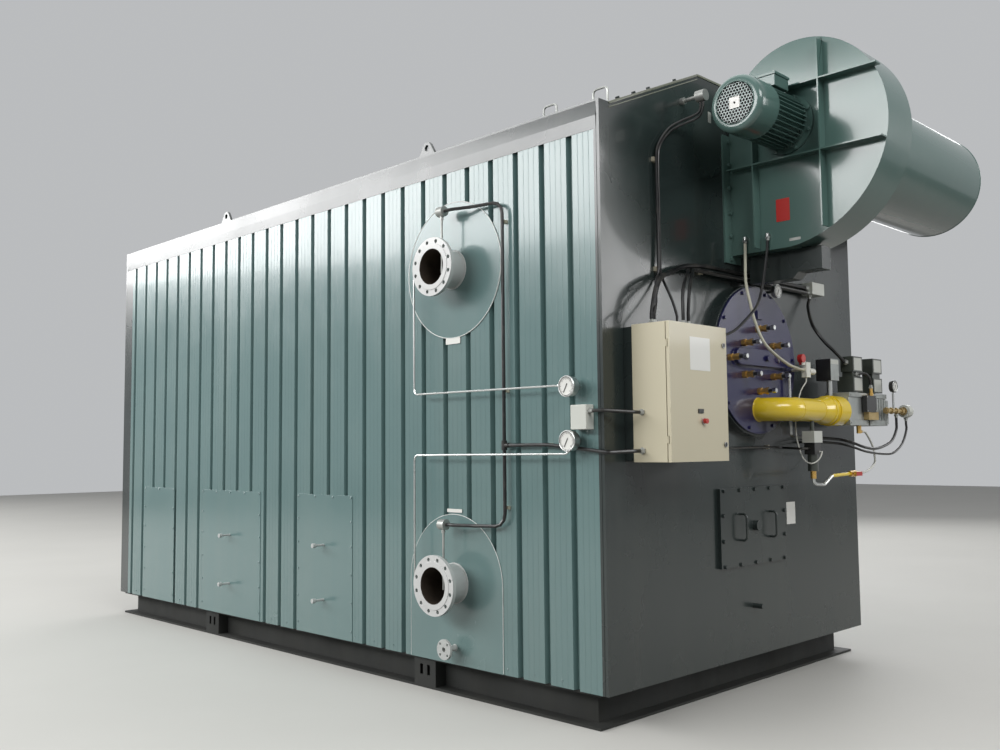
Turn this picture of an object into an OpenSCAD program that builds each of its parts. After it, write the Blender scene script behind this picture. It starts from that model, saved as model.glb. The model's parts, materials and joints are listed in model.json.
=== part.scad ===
// Industrial boiler: a long insulated casing on a beam frame, with ribbed side
// cladding, two water nozzles on the left side, and the burner, its fan, gas
// train and control cabinet on the front. Millimetres, +Z up, front towards -Y,
// nozzle side towards -X. The origin is on the floor under the middle cross beam.

/* [Casing] */
// Width of the casing over the side sheets
casing_w = 2716; // [2400:1:3000]
// Length of the casing from the front corner to the rear face
casing_l = 5510; // [5200:1:6200]
// Height of the sides, from the beam frame to the top of the fascia
casing_h = 3012; // [2900:1:3300]
// Depth of the insulated side walls
wall_t = 60; // [45:1:90]
// Thickness of the front and rear plates
plate_t = 20; // [12:1:30]
// Height of the plain fascia above the ribbed sheets
fascia_h = 155; // [120:1:200]
// Width of the plain posts at the rear corners
post_w = 140; // [80:1:200]
// Thickness of the bottom sheet
bottom_t = 8; // [4:1:20]

/* [Roof] */
// Level shoulder between the side and the foot of the roof slope
shoulder_w = 80; // [60:1:140]
// Width of one sloping side of the roof, seen from the front
roof_run = 820; // [600:1:1000]
// Rise of the roof above the fascia
roof_rise = 362; // [250:1:450]
// Thickness of the roof sheets
roof_t = 10; // [6:1:20]

/* [Base frame] */
// Height of the base beams
beam_h = 180; // [140:1:220]
// Width of the beam flanges
beam_w = 170; // [120:1:180]
// Thickness of the beam flanges
flange_t = 14; // [9:1:20]
// Thickness of the beam webs
web_t = 9; // [6:1:14]
// Distance of the side beams' flange edge inside the side sheets
base_inset_side = 20; // [5:1:60]
// Distance of the end beams' flange edge inside the casing ends
base_inset_end = 50; // [20:1:90]
// Distance from the front corner to the first cross beam
cross_front = 1390; // [1100:1:1700]
// Distance from the front corner to the last cross beam
cross_rear = 3915; // [3500:1:4300]
// Width of the boxes that close the side beams at the cross beams
end_box_w = 190; // [140:1:240]

/* [Ribbed sheets] */
// Distance between two grooves of the sheets
rib_pitch = 196.8; // [180:0.1:230]
// Distance from the front corner to the first groove
groove_first = 186; // [120:1:230]
// Width of a groove at the outer face
groove_w = 42; // [30:1:60]
// Width of a groove at its bottom
groove_floor = 24; // [12:1:30]
// Depth of a groove
groove_d = 30; // [15:1:40]

/* [Water nozzles] */
// Distance of the nozzles from the front corner
nozzle_along = 1097; // [900:1:1400]
// Height of the upper nozzle above the floor
upper_nozzle_z = 2450; // [2380:1:2520]
// Height of the lower nozzle above the floor
lower_nozzle_z = 638; // [560:1:800]
// Outer diameter of the nozzle pipes
nozzle_od = 219.1; // [200:0.1:240]
// Bore of the nozzle pipes
nozzle_bore = 206.5; // [180:0.1:212]
// Outer diameter of the nozzle flanges
nozzle_flange_d = 340; // [320:1:380]
// Bolt circle of the nozzle flanges
nozzle_pcd = 295; // [285:1:320]
// Thickness of the nozzle flanges
nozzle_flange_t = 24; // [18:1:34]
// Bolt hole diameter of the nozzle flanges
nozzle_hole_d = 22; // [18:1:26]
// Distance from the side sheets to the flange faces
nozzle_standoff = 172; // [150:1:260]
// Radius of the round cover behind the upper nozzle
disc_r = 401; // [300:1:420]
// Half width of the arched cover behind the lower nozzle
arch_r = 390; // [300:1:420]
// Thickness of the covers
cover_t = 4; // [2:1:8]
// Height of the drain nozzle above the floor
drain_z = 274; // [260:1:300]

/* [Front] */
// Height of the burner centre above the floor
burner_z = 1912; // [1850:1:2000]
// Radius of the burner's mounting ring
burner_ring_r = 448; // [430:1:480]
// Radius of the burner plate
burner_plate_r = 438; // [400:1:446]
// Depth of the burner's mounting ring
burner_ring_t = 55; // [30:1:80]
// Thickness of the burner plate
burner_plate_t = 14; // [8:1:25]
// Radius of the circle of burner lances
lance_circle_r = 185; // [160:1:200]
// Width of the front hatch
hatch_w = 730; // [600:1:800]
// Height of the front hatch
hatch_h = 450; // [380:1:500]
// Height of the hatch centre above the floor
hatch_z = 937; // [900:1:960]

/* [Fan] */
// Distance of the fan shaft in front of the casing
fan_reach = 406; // [400:1:430]
// Height of the fan shaft above the floor
fan_z = 3228; // [3200:1:3260]
// Width of the fan housing
scroll_w = 300; // [260:1:340]
// Radius of the housing at its top
scroll_r0 = 472; // [440:1:500]
// Growth of the housing's radius for each degree
scroll_step = 1.28; // [1:0.01:1.4]
// Radius of the motor
motor_r = 157; // [130:1:160]
// Length of the motor from the fan housing to its cowl
motor_l = 540; // [480:1:640]
// Radius of the intake silencer
silencer_r = 347; // [300:1:370]
// Length of the intake silencer
silencer_l = 1718; // [1300:1:1800]

/* [Control cabinet] */
// Distance from the casing's left side to the cabinet
cabinet_left = 158; // [140:1:180]
// Width of the cabinet
cabinet_w = 510; // [480:1:520]
// Height of the cabinet
cabinet_h = 700; // [640:1:720]
// Height of the cabinet's underside above the floor
cabinet_z = 1327; // [1310:1:1340]
// Depth of the cabinet box, without its door
cabinet_d = 207; // [180:1:240]
// Depth of the frame that carries the cabinet
cabinet_frame_d = 61; // [40:1:80]
// Thickness of the cabinet walls
cabinet_wall = 5; // [3:1:8]
// Thickness of the cabinet door
door_t = 20; // [16:1:26]
// Gap between the door and the cabinet
door_gap = 5; // [5:0.5:8]

/* [Gas train] */
// Outer diameter of the gas pipe
gas_od = 139.7; // [114:0.1:150]
// Bore of the gas pipe
gas_bore = 131.7; // [100:0.1:140]
// Height of the gas pipe above the floor
gas_z = 1618; // [1600:1:1640]
// Bend radius of the gas elbow
gas_bend = 150; // [130:1:170]
// Length of the straight gas pipe after the elbow
gas_run = 260; // [200:1:340]

/* [Hidden] */
$fn = 64;

cladding_color = [0.46, 0.59, 0.58];
plate_color = [0.16, 0.2, 0.2];
fan_color = [0.35, 0.49, 0.46];
nozzle_color = [0.66, 0.68, 0.68];
steel_color = [0.7, 0.7, 0.7];
brass_color = [0.72, 0.58, 0.3];
cable_color = [0.07, 0.07, 0.07];
cabinet_color = [0.75, 0.73, 0.65];
gas_color = [0.88, 0.78, 0.22];
burner_color = [0.18, 0.18, 0.36];
alloy_color = [0.55, 0.57, 0.57];
red_color = [0.75, 0.15, 0.12];

cut = 1;
seat = 0.3;
half_w = casing_w / 2;
half_l = casing_l / 2;
fascia_top = beam_h + casing_h;
fascia_foot = fascia_top - fascia_h;
roof_top = fascia_top + roof_rise;
front_y = -half_l - plate_t;
rear_inner = half_l - plate_t;
sheet_x = -half_w;
nozzle_y = -half_l + nozzle_along;
ring_y = front_y - burner_ring_t;
burner_throat_r = 300;
burner_y = ring_y - burner_plate_t;

// Turns the local z axis to the left side (-X) or to the front (-Y)
module to_left() rotate([0, -90, 0]) children();
module to_right() rotate([0, 90, 0]) children();
module to_front() rotate([90, 0, 0]) children();
module both_sides() {
    children();
    mirror([1, 0, 0]) children();
}

// A round tube along a list of points, with flat ends
function unit(v) = v / norm(v);
function heading(p, i) = unit(p[min(i + 1, len(p) - 1)] - p[max(i - 1, 0)]);
function square_to(v, t) = unit(v - (v * t) * t);
function first_side(t) = square_to(abs(t[2]) < 0.9 ? [0, 0, 1] : [1, 0, 0], t);
function sides_along(p, i, done) =
    i >= len(p) ? done
    : sides_along(p, i + 1, concat(done, [square_to(done[i - 1], heading(p, i))]));
function ring_at(c, t, s, r, n) =
    [for (k = [0:n - 1]) c + r * (s * cos(360 * k / n) + cross(t, s) * sin(360 * k / n))];
module tube(path, r, n = 8) {
    side = sides_along(path, 1, [first_side(heading(path, 0))]);
    rings = [for (i = [0:len(path) - 1]) each ring_at(path[i], heading(path, i), side[i], r, n)];
    last = (len(path) - 1) * n;
    polyhedron(
        points = rings,
        faces = concat(
            [[for (k = [n - 1:-1:0]) n - 1 - k]],
            [for (i = [0:len(path) - 2]) for (k = [0:n - 1])
                [i * n + k, (i + 1) * n + k, (i + 1) * n + (k + 1) % n, i * n + (k + 1) % n]],
            [[for (k = [n - 1:-1:0]) last + k]]));
}

// A corner of a bent line becomes an arc of a few points
function corner(a, b, c, r, n) =
    let (
        u = unit(a - b),
        v = unit(c - b),
        half = acos(u * v) / 2,
        reach = r / tan(half),
        centre = b + unit(u + v) * r / sin(half),
        p = b + u * reach - centre,
        q = b + v * reach - centre,
        turn = 180 - 2 * half)
    [for (k = [0:n]) centre + (p * sin(turn * (1 - k / n)) + q * sin(turn * k / n)) / sin(turn)];
function bent(points, r, n = 3) = concat(
    [points[0]],
    [for (i = [1:len(points) - 2]) each corner(points[i - 1], points[i], points[i + 1], r, n)],
    [points[len(points) - 1]]);

// A smooth curve through chosen points, straight at both ends
function spline_point(a, b, c, d, t) =
    0.5 * (2 * b + (c - a) * t + (2 * a - 5 * b + 4 * c - d) * t * t
        + (3 * b - a - 3 * c + d) * t * t * t);
function smooth(points, n = 3) = let (last = len(points) - 1) concat(
    [points[0]],
    [for (i = [1:last - 2]) for (k = [0:n - 1])
        spline_point(points[i - 1], points[i], points[i + 1], points[i + 2], k / n)],
    [points[last - 1], points[last]]);

// A ring of holes, bolts or lances
module circle_of(count, r, start = 0) {
    for (i = [0:count - 1]) rotate([0, 0, start + i * 360 / count]) translate([r, 0, 0]) children();
}

// Base frame: four I beams, mitred at the corners
beam_x = half_w - base_inset_side;
beam_y = half_l - base_inset_end;
web_x = beam_x - (beam_w - web_t) / 2;
web_y = beam_y - (beam_w - web_t) / 2;
module ring_box(x, y, w, z, h) {
    translate([0, 0, z]) linear_extrude(h) difference() {
        square([2 * x, 2 * y], center = true);
        square([2 * (x - w), 2 * (y - w)], center = true);
    }
}
box_slot_w = 26;
box_slot_h = 60;
box_wall = 8;
web_clear_h = beam_h - 2 * flange_t;
module end_box() {
    depth = beam_x - web_x;
    translate([-beam_x, -end_box_w / 2, flange_t]) difference() {
        cube([depth, end_box_w, web_clear_h]);
        translate([box_wall, box_wall, -cut])
            cube([depth, end_box_w - 2 * box_wall, web_clear_h + 2 * cut]);
        for (side = [-1, 1])
            translate([-cut, end_box_w / 2 + side * end_box_w / 6 - box_slot_w / 2,
                web_clear_h / 2 - box_slot_h / 4])
                cube([box_wall + 2 * cut, box_slot_w, box_slot_h]);
    }
}
module base_frame() color(plate_color) {
    ring_box(beam_x, beam_y, beam_w, 0, flange_t);
    ring_box(web_x, web_y, web_t, flange_t, web_clear_h);
    ring_box(beam_x, beam_y, beam_w, beam_h - flange_t, flange_t);
    for (along = [cross_front, cross_rear]) translate([0, -half_l + along, 0])
        both_sides() end_box();
}

// Cross beams between the side beams, the middle one under the origin
module cross_beam() {
    inner = web_x - web_t;
    flange_end = beam_x - beam_w;
    for (z = [0, beam_h - flange_t]) translate([-flange_end, -beam_w / 2, z])
        cube([2 * flange_end, beam_w, flange_t]);
    translate([-inner, -web_t / 2, flange_t]) cube([2 * inner, web_t, web_clear_h]);
}
module cross_beams() color(plate_color) {
    cross_beam();
    for (along = [cross_front, cross_rear]) translate([0, -half_l + along, 0]) cross_beam();
}

module bottom_sheet() color(plate_color)
    translate([-half_w + wall_t, -half_l, beam_h])
        cube([casing_w - 2 * wall_t, casing_l - plate_t, bottom_t]);

// Ribbed side sheets with their insulation
sheet_l = casing_l - post_w;
groove_count = floor((sheet_l - groove_first - groove_w) / rib_pitch) + 1;
module ribbed_wall() {
    translate([sheet_x, -half_l, beam_h]) linear_extrude(fascia_foot - beam_h) polygon(concat(
        [[0, 0]],
        [for (i = [0:groove_count - 1]) let (y = groove_first + i * rib_pitch) each [
            [0, y - groove_w / 2], [groove_d, y - groove_floor / 2],
            [groove_d, y + groove_floor / 2], [0, y + groove_w / 2]]],
        [[0, sheet_l], [wall_t, sheet_l], [wall_t, 0]]));
}
module nozzle_holes(depth) {
    translate([sheet_x - cover_t - cut, nozzle_y, 0]) {
        for (z = [upper_nozzle_z, lower_nozzle_z]) translate([0, 0, z])
            to_right() cylinder(r = nozzle_od / 2 + seat, h = depth);
        translate([0, 0, drain_z]) to_right() cylinder(r = drain_od / 2 + seat, h = depth);
    }
}
module left_cladding() color(cladding_color) difference() {
    ribbed_wall();
    nozzle_holes(wall_t + cover_t + 2 * cut);
}
module right_cladding() color(cladding_color) mirror([1, 0, 0]) ribbed_wall();

// Fascia: a folded sheet with a slight crease at half height
crease = 4;
module top_fascia() color(plate_color) both_sides()
    translate([sheet_x, rear_inner, fascia_foot]) to_front() linear_extrude(rear_inner + half_l)
        polygon([[-crease / 2, 0], [-crease, fascia_h * 0.45], [0, fascia_h - roof_t],
            [wall_t, fascia_h - roof_t], [wall_t, 0]]);

edge_trim = 16;
edge_proud = 2;
module corner_posts() color(plate_color) both_sides() {
    translate([sheet_x, rear_inner - post_w + plate_t, beam_h])
        cube([wall_t, post_w - plate_t, fascia_foot - beam_h]);
    translate([sheet_x - edge_proud, -half_l, beam_h])
        cube([edge_proud, edge_trim, fascia_foot - beam_h]);
}

// End plates and roof share one outline
slope_foot_x = half_w - shoulder_w;
slope_top_x = slope_foot_x - roof_run;
function roof_line(drop) = [
    [half_w, fascia_top - drop], [slope_foot_x, fascia_top - drop],
    [slope_top_x, roof_top - drop], [-slope_top_x, roof_top - drop],
    [-slope_foot_x, fascia_top - drop], [-half_w, fascia_top - drop]];
module end_plate() linear_extrude(plate_t)
    polygon(concat([[-half_w, beam_h], [half_w, beam_h]], roof_line(0)));
module front_plate() color(plate_color) difference() {
    translate([0, -half_l, 0]) to_front() end_plate();
    translate([0, cut - half_l, burner_z]) to_front()
        cylinder(r = burner_throat_r, h = plate_t + 2 * cut);
}
module rear_plate() color(plate_color)
    translate([0, half_l, 0]) to_front() end_plate();
// Five flat sheets, each with a hairline joint to the next
module roof() color(plate_color)
    translate([0, rear_inner, 0]) to_front() linear_extrude(rear_inner + half_l)
        for (i = [0:4]) let (
            top = roof_line(0),
            under = roof_line(roof_t),
            a = [i > 0 ? seat / 2 : 0, 0],
            b = [i < 4 ? seat / 2 : 0, 0])
            polygon([top[i] - a, top[i + 1] + b, under[i + 1] + b, under[i] - a]);

// Bow handles of the roof hatches, and the lifting lugs
handle_d = 12;
handle_span = 96;
handle_rise = 84;
handle_places = [62, 420];
handle_up = 38;
module bow_handle(span, rise, d) {
    half = span / 2;
    tube(bent([[0, -half, -cut], [0, -half, rise], [0, half, rise], [0, half, -cut]], 22, 4), d / 2, 12);
}
module roof_handles() color(steel_color) difference() {
    for (along = handle_places) both_sides()
        translate([-slope_foot_x + handle_up, -half_l + along, fascia_top])
            bow_handle(handle_span, handle_rise + handle_up * roof_rise / roof_run, handle_d);
    translate([0, half_l, seat]) to_front() linear_extrude(casing_l)
        polygon([each roof_line(0), [-half_w, beam_h], [half_w, beam_h]]);
}

lug_places = [1366, 3791];
lug_t = 20;
lug_h = 95;
lug_foot = 150;
lug_hole = 36;
lug_head_r = 40;
lug_x = half_w - shoulder_w / 2;
module lifting_lug() rotate([0, 0, 90]) to_front() translate([0, 0, -lug_t / 2]) linear_extrude(lug_t) difference() {
    hull() {
        translate([0, lug_h - lug_head_r]) circle(r = lug_head_r);
        translate([-lug_foot / 2, 0]) square([lug_foot, 10]);
    }
    translate([0, lug_h - lug_head_r]) circle(d = lug_hole);
}
module lifting_lugs() color(plate_color)
    for (along = lug_places) both_sides()
        translate([-lug_x, -half_l + along, fascia_top]) lifting_lug();

// Covers on the left side
module round_cover() color(cladding_color) difference() {
    translate([sheet_x - cover_t, nozzle_y, upper_nozzle_z]) to_right() cylinder(r = disc_r, h = cover_t, $fn = 96);
    nozzle_holes(wall_t);
}
module arched_cover() color(cladding_color) difference() {
    translate([sheet_x - cover_t, nozzle_y, 0]) {
        translate([0, 0, lower_nozzle_z]) to_right() cylinder(r = arch_r, h = cover_t, $fn = 96);
        translate([0, -arch_r, beam_h]) cube([cover_t, 2 * arch_r, lower_nozzle_z - beam_h]);
    }
    nozzle_holes(wall_t);
}
// Each lower cover: its front and rear edge from the front corner, and whether it has latches
cover_rows = [[2080, 2714, true], [3195, 4053, true], [4523, 5061, false]];
side_cover_top = 1108;
latch_z = [415, 775];
latch_l = 92;
module side_covers() color(cladding_color) for (row = cover_rows) {
    translate([sheet_x - cover_t, -half_l + row[0], beam_h])
        cube([cover_t, row[1] - row[0], side_cover_top - beam_h]);
    if (row[2]) for (z = latch_z)
        translate([sheet_x - cover_t, -half_l + (row[0] + row[1]) / 2, z]) to_left() {
            cylinder(d = 16, h = latch_l);
            translate([0, 0, latch_l - 24]) cylinder(d = 30, h = 24);
        }
}

// Water nozzles: pipe, hub and a flange with twelve holes
neck_hub_d = 236;
neck_hub_l = 38;
pipe_inside = 160;
raised_d = 268;
raised_t = 3;
module nozzle(z) {
    face = nozzle_standoff;
    back = face - raised_t - nozzle_flange_t;
    translate([sheet_x, nozzle_y, z]) to_left() difference() {
        union() {
            translate([0, 0, -pipe_inside]) cylinder(d = nozzle_od, h = pipe_inside + back);
            translate([0, 0, back - neck_hub_l]) cylinder(d1 = nozzle_od, d2 = neck_hub_d, h = neck_hub_l);
            translate([0, 0, back]) cylinder(d = nozzle_flange_d, h = nozzle_flange_t);
            translate([0, 0, back + nozzle_flange_t]) cylinder(d = raised_d, h = raised_t);
        }
        translate([0, 0, -pipe_inside - cut]) cylinder(d = nozzle_bore, h = pipe_inside + face + 2 * cut);
        circle_of(12, nozzle_pcd / 2, 15) translate([0, 0, back - cut])
            cylinder(d = nozzle_hole_d, h = nozzle_flange_t + 2 * cut, $fn = 24);
    }
}
module upper_nozzle() color(nozzle_color) nozzle(upper_nozzle_z);
module lower_nozzle() color(nozzle_color) nozzle(lower_nozzle_z);

drain_od = 33.7;
drain_bore = 27.3;
drain_flange_d = 115;
drain_pcd = 85;
drain_hole_d = 14;
drain_flange_t = 16;
drain_standoff = 92;
module drain_nozzle() color(nozzle_color)
    translate([sheet_x, nozzle_y, drain_z]) to_left() difference() {
        union() {
            translate([0, 0, -wall_t - 20]) cylinder(d = drain_od, h = wall_t + 20 + drain_standoff - 2);
            translate([0, 0, drain_standoff - drain_flange_t]) cylinder(d = drain_flange_d, h = drain_flange_t);
        }
        translate([0, 0, -wall_t - 20 - cut]) cylinder(d = drain_bore, h = wall_t + 20 + drain_standoff + 2 * cut);
        circle_of(4, drain_pcd / 2, 45) translate([0, 0, drain_standoff - drain_flange_t - cut])
            cylinder(d = drain_hole_d, h = drain_flange_t + 2 * cut, $fn = 24);
    }

// Probes: a thin stem in a boss on each nozzle neck, with a connection head
probe_out = 88;
probe_head_r = 30;
probe_head_l = 52;
probe_stem_d = 13;
boss_d = 34;
boss_l = 34;
upper_head_z = 2791;
lower_head_z = 983;
module probe(nozzle_z, head_z) translate([sheet_x - probe_out, nozzle_y, 0]) {
    foot = nozzle_z + nozzle_od / 2;
    translate([0, 0, foot - 2]) difference() {
        cylinder(d = boss_d, h = boss_l);
        translate([0, 0, 2 - nozzle_od / 2]) to_left() translate([0, 0, -boss_d])
            cylinder(d = nozzle_od + 2 * seat, h = 2 * boss_d);
    }
    translate([0, 0, foot + boss_l - 3]) cylinder(d = probe_stem_d, h = head_z - foot - boss_l);
    translate([0, 0, head_z - 8]) rotate([90, 0, 0]) translate([0, 0, -probe_head_l / 2])
        cylinder(r = probe_head_r, h = probe_head_l);
    translate([0, 0, head_z - probe_head_r - 26]) cylinder(d = 22, h = 30);
}
front_probe_x = -621;
front_probe_z = 3350;
front_probe_l = 110;
module temperature_probes() color(steel_color) {
    probe(upper_nozzle_z, upper_head_z);
    probe(lower_nozzle_z, lower_head_z);
    // The well in each nozzle's bore
    for (z = [upper_nozzle_z, lower_nozzle_z]) translate([sheet_x - probe_out, nozzle_y, z]) intersection() {
        translate([0, 0, -30]) cylinder(d = probe_stem_d, h = nozzle_bore);
        translate([-probe_stem_d, 0, 0]) to_right() cylinder(d = nozzle_bore - 2 * seat, h = 2 * probe_stem_d);
    }
    translate([front_probe_x, front_y, front_probe_z]) to_front() {
        cylinder(d = 40, h = 22);
        cylinder(d = 22, h = front_probe_l);
        translate([0, 0, front_probe_l - 4]) cylinder(d = 64, h = 56);
    }
}

// Armoured conduit on the left side, with its branch to the cabinet
conduit_x = sheet_x - 32;
conduit_r = 10;
tee_z = 1420;
conduit_y = -half_l + 655;
cable_entry_y = front_y - 120;
module side_conduit() color(cable_color) {
    tube(bent([
        [sheet_x - probe_out, nozzle_y - probe_head_l / 2 - seat, upper_head_z - 8],
        [sheet_x - probe_out, nozzle_y - probe_head_l / 2 - 50, upper_head_z - 8],
        [conduit_x - 10, nozzle_y - 200, upper_head_z - 8],
        [conduit_x, conduit_y, upper_head_z - 20],
        [conduit_x, conduit_y, tee_z + 26 + seat]], 70), conduit_r);
    tube(bent([
        [conduit_x, conduit_y, tee_z - 26 - seat],
        [conduit_x, conduit_y, lower_head_z - 2],
        [conduit_x - 20, nozzle_y - 200, lower_head_z - 8],
        [sheet_x - probe_out, nozzle_y - probe_head_l / 2 - 50, lower_head_z - 8],
        [sheet_x - probe_out, nozzle_y - probe_head_l / 2 - seat, lower_head_z - 8]], 70), conduit_r);
    translate([conduit_x, conduit_y, tee_z - 26]) cylinder(r = conduit_r + 6, h = 52);
    translate([conduit_x, conduit_y, tee_z]) to_front() cylinder(r = conduit_r + 3, h = 36);
    tube(bent([
        [conduit_x, conduit_y - 36 - seat, tee_z],
        [conduit_x, -half_l + 340, tee_z],
        [conduit_x, -half_l + 200, tee_z - 12],
        [conduit_x, -half_l - 70, tee_z - 42],
        [-half_w + cabinet_left - 60, cable_entry_y, 1384],
        [-half_w + cabinet_left - seat, cable_entry_y, 1384]], 45), conduit_r);
    tube(bent([
        [sheet_x - 36, gauge_box_y - gauge_box_w / 2 - seat, 1588],
        [sheet_x - 36, -half_l - 40, 1588],
        [-half_w + cabinet_left - 60, cable_entry_y, 1578],
        [-half_w + cabinet_left - seat, cable_entry_y, 1578]], 45), conduit_r - 1);
}

// Clips: a small block under the conduit, with a saddle
clip_rows = [
    [sheet_x, conduit_y, 2660], [sheet_x, conduit_y, 1719], [sheet_x, conduit_y, 1082]];
module cable_clips() color(steel_color) {
    for (p = clip_rows) translate(p) translate([-22 + seat, -12, -9]) cube([22 - seat, 24, 18]);
    translate([sheet_x - 22 + seat, -half_l + 322, tee_z - 9]) cube([22 - seat, 24, 18]);
    for (p = front_clips) translate([p[0] - p[2] / 2, front_y - p[3], p[1] - 12]) cube([p[2], p[3], 24]);
}
// Each clip on the front: its place, width and depth
front_clips = [[-896, 2959, 44, 15], [-897, 2358, 44, 15], [-487, 2388, 20, 20], [190, 1397, 20, 16]];

// Thin tubes from the nozzle necks to the gauges
impulse_x = sheet_x - 72;
impulse_y = nozzle_y + 273;
impulse_r = 6;
gauge_y = -half_l + 150;
gauge_high_z = 1715;
gauge_low_z = 1438;
gauge_r = 55;
module impulse_tubes() color(steel_color) {
    tube(bent([
        [impulse_x, nozzle_y + nozzle_od / 2 + seat, upper_nozzle_z],
        [impulse_x, impulse_y, upper_nozzle_z],
        [impulse_x, impulse_y, 1728],
        [impulse_x, gauge_y + 68 + seat, 1722]], 30), impulse_r);
    tube(bent([
        [impulse_x, nozzle_y + nozzle_od / 2 + seat, lower_nozzle_z],
        [impulse_x, impulse_y, lower_nozzle_z],
        [impulse_x, impulse_y, 1368],
        [impulse_x, gauge_y + 0, 1372],
        [impulse_x, gauge_y, gauge_low_z - gauge_r - 1]], 30), impulse_r);
}
module gauge(r, depth) {
    cylinder(r = r, h = depth);
    translate([0, 0, depth - 10]) cylinder(r = r + 4, h = 14);
}
module pressure_gauges() color(steel_color) {
    for (z = [gauge_high_z, gauge_low_z]) translate([sheet_x, gauge_y, z]) {
        translate([-46, 0, 0]) to_left() gauge(gauge_r - 4, 40);
        to_left() cylinder(d = 34, h = 50);
    }
    translate([impulse_x, gauge_y + 46, gauge_high_z + 7]) rotate([-90, 0, 0]) cylinder(d = 20, h = 22);
    translate([210, front_y - 70, 2345]) to_front() gauge(38, 26);
    translate([210, front_y - 72, 2345]) rotate([-90, 0, 0]) cylinder(d = 16, h = 72);
}

gauge_box_y = -half_l + 97;
gauge_box_w = 105;
gauge_box_h = 126;
gauge_box_z = 1494;
front_box_x = 760;
front_box_z = 2418;
module junction_boxes() color(nozzle_color) {
    translate([sheet_x - 62, gauge_box_y - gauge_box_w / 2, gauge_box_z]) cube([62, gauge_box_w, gauge_box_h]);
    translate([front_box_x - 80, front_y - 80, front_box_z - 40]) cube([160, 80, 80]);
}

// Control cabinet on its frame, with a door hinged on the left edge
cabinet_x = -half_w + cabinet_left;
cabinet_back = front_y - cabinet_frame_d;
cabinet_front = cabinet_back - cabinet_d;
door_back = cabinet_front - door_gap;
hinge_x = cabinet_x + 2;
hinge_y = door_back - 2;
hinge_h = 40;
hinge_z = [cabinet_z + 110, cabinet_z + cabinet_h - 110];
notch_in = 11;
notch_deep = 10;
lug_gap = 3;
pin_r = 2.5;
module cabinet_frame() color(plate_color)
    translate([cabinet_x + 8, cabinet_back, cabinet_z + 8])
        cube([cabinet_w - 16, cabinet_frame_d, cabinet_h - 16]);
module control_cabinet() color(cabinet_color) {
    difference() {
        translate([cabinet_x, cabinet_front, cabinet_z]) cube([cabinet_w, cabinet_d, cabinet_h]);
        translate([cabinet_x + cabinet_wall, cabinet_front - cut, cabinet_z + cabinet_wall])
            cube([cabinet_w - 2 * cabinet_wall, cabinet_d - cabinet_wall + cut, cabinet_h - 2 * cabinet_wall]);
    }
    for (z = hinge_z) difference() {
        union() {
            translate([hinge_x - 2, hinge_y, z - hinge_h / 2 + lug_gap])
                cube([5, cabinet_front - hinge_y, hinge_h - 2 * lug_gap]);
            translate([hinge_x, hinge_y, z - hinge_h / 2 + lug_gap])
                cylinder(r = 4.5, h = hinge_h - 2 * lug_gap);
        }
        translate([hinge_x, hinge_y, z - hinge_h]) cylinder(r = pin_r + seat, h = 2 * hinge_h, $fn = 32);
    }
}
module cabinet_door() color(cabinet_color) {
    difference() {
        translate([cabinet_x, door_back - door_t, cabinet_z]) cube([cabinet_w, door_t, cabinet_h]);
        for (z = hinge_z) translate([cabinet_x - cut, door_back - notch_deep, z - hinge_h / 2])
            cube([notch_in + cut, notch_deep + cut, hinge_h]);
    }
    for (z = hinge_z) translate([hinge_x, hinge_y, z - hinge_h / 2 - 4])
        cylinder(r = pin_r, h = hinge_h + 8, $fn = 32);
}
door_face = door_back - door_t;
module door_switches() color(red_color) {
    translate([cabinet_x + 280, door_face, cabinet_z + 205]) to_front() {
        cylinder(r = 15, h = 6);
        cylinder(r = 13, h = 26);
    }
    translate([cabinet_x + 235, door_face - 5, cabinet_z + 245]) cube([46, 5, 22]);
    for (z = [cabinet_z + 85, cabinet_z + cabinet_h - 95])
        translate([cabinet_x + cabinet_w - 32, door_face, z]) to_front() cylinder(r = 12, h = 6);
}

// Burner: a ring on the front plate, the plate with its lances, the gas port
module burner_ring() color(plate_color)
    translate([0, front_y, burner_z]) to_front() difference() {
        cylinder(r = burner_ring_r, h = burner_ring_t, $fn = 96);
        translate([0, 0, -cut]) cylinder(r = burner_throat_r, h = burner_ring_t + 2 * cut, $fn = 96);
    }
module burner_plate() color(burner_color) {
    translate([0, ring_y, burner_z]) to_front() {
        cylinder(r = burner_plate_r, h = burner_plate_t, $fn = 96);
        hull() for (x = [-215, 290]) translate([x, 12, burner_plate_t - 1]) cylinder(r = 50, h = 27);
        translate([-2, 244, burner_plate_t - 1]) cube([54, 54, 13]);
    }
}
lance_hex = 42;
module lance() {
    cylinder(d = lance_hex, h = 26, $fn = 6);
    cylinder(d = 34, h = 58);
    translate([0, 0, 52]) cylinder(d = lance_hex, h = 22, $fn = 6);
    cylinder(d = 22, h = 104);
    translate([0, 0, 96]) cylinder(d = 30, h = 24, $fn = 6);
}
module burner_lances() color(brass_color)
    translate([0, burner_y, burner_z]) to_front() {
        circle_of(6, lance_circle_r, 30) lance();
        translate([-306, 0, 0]) lance();
    }

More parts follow.
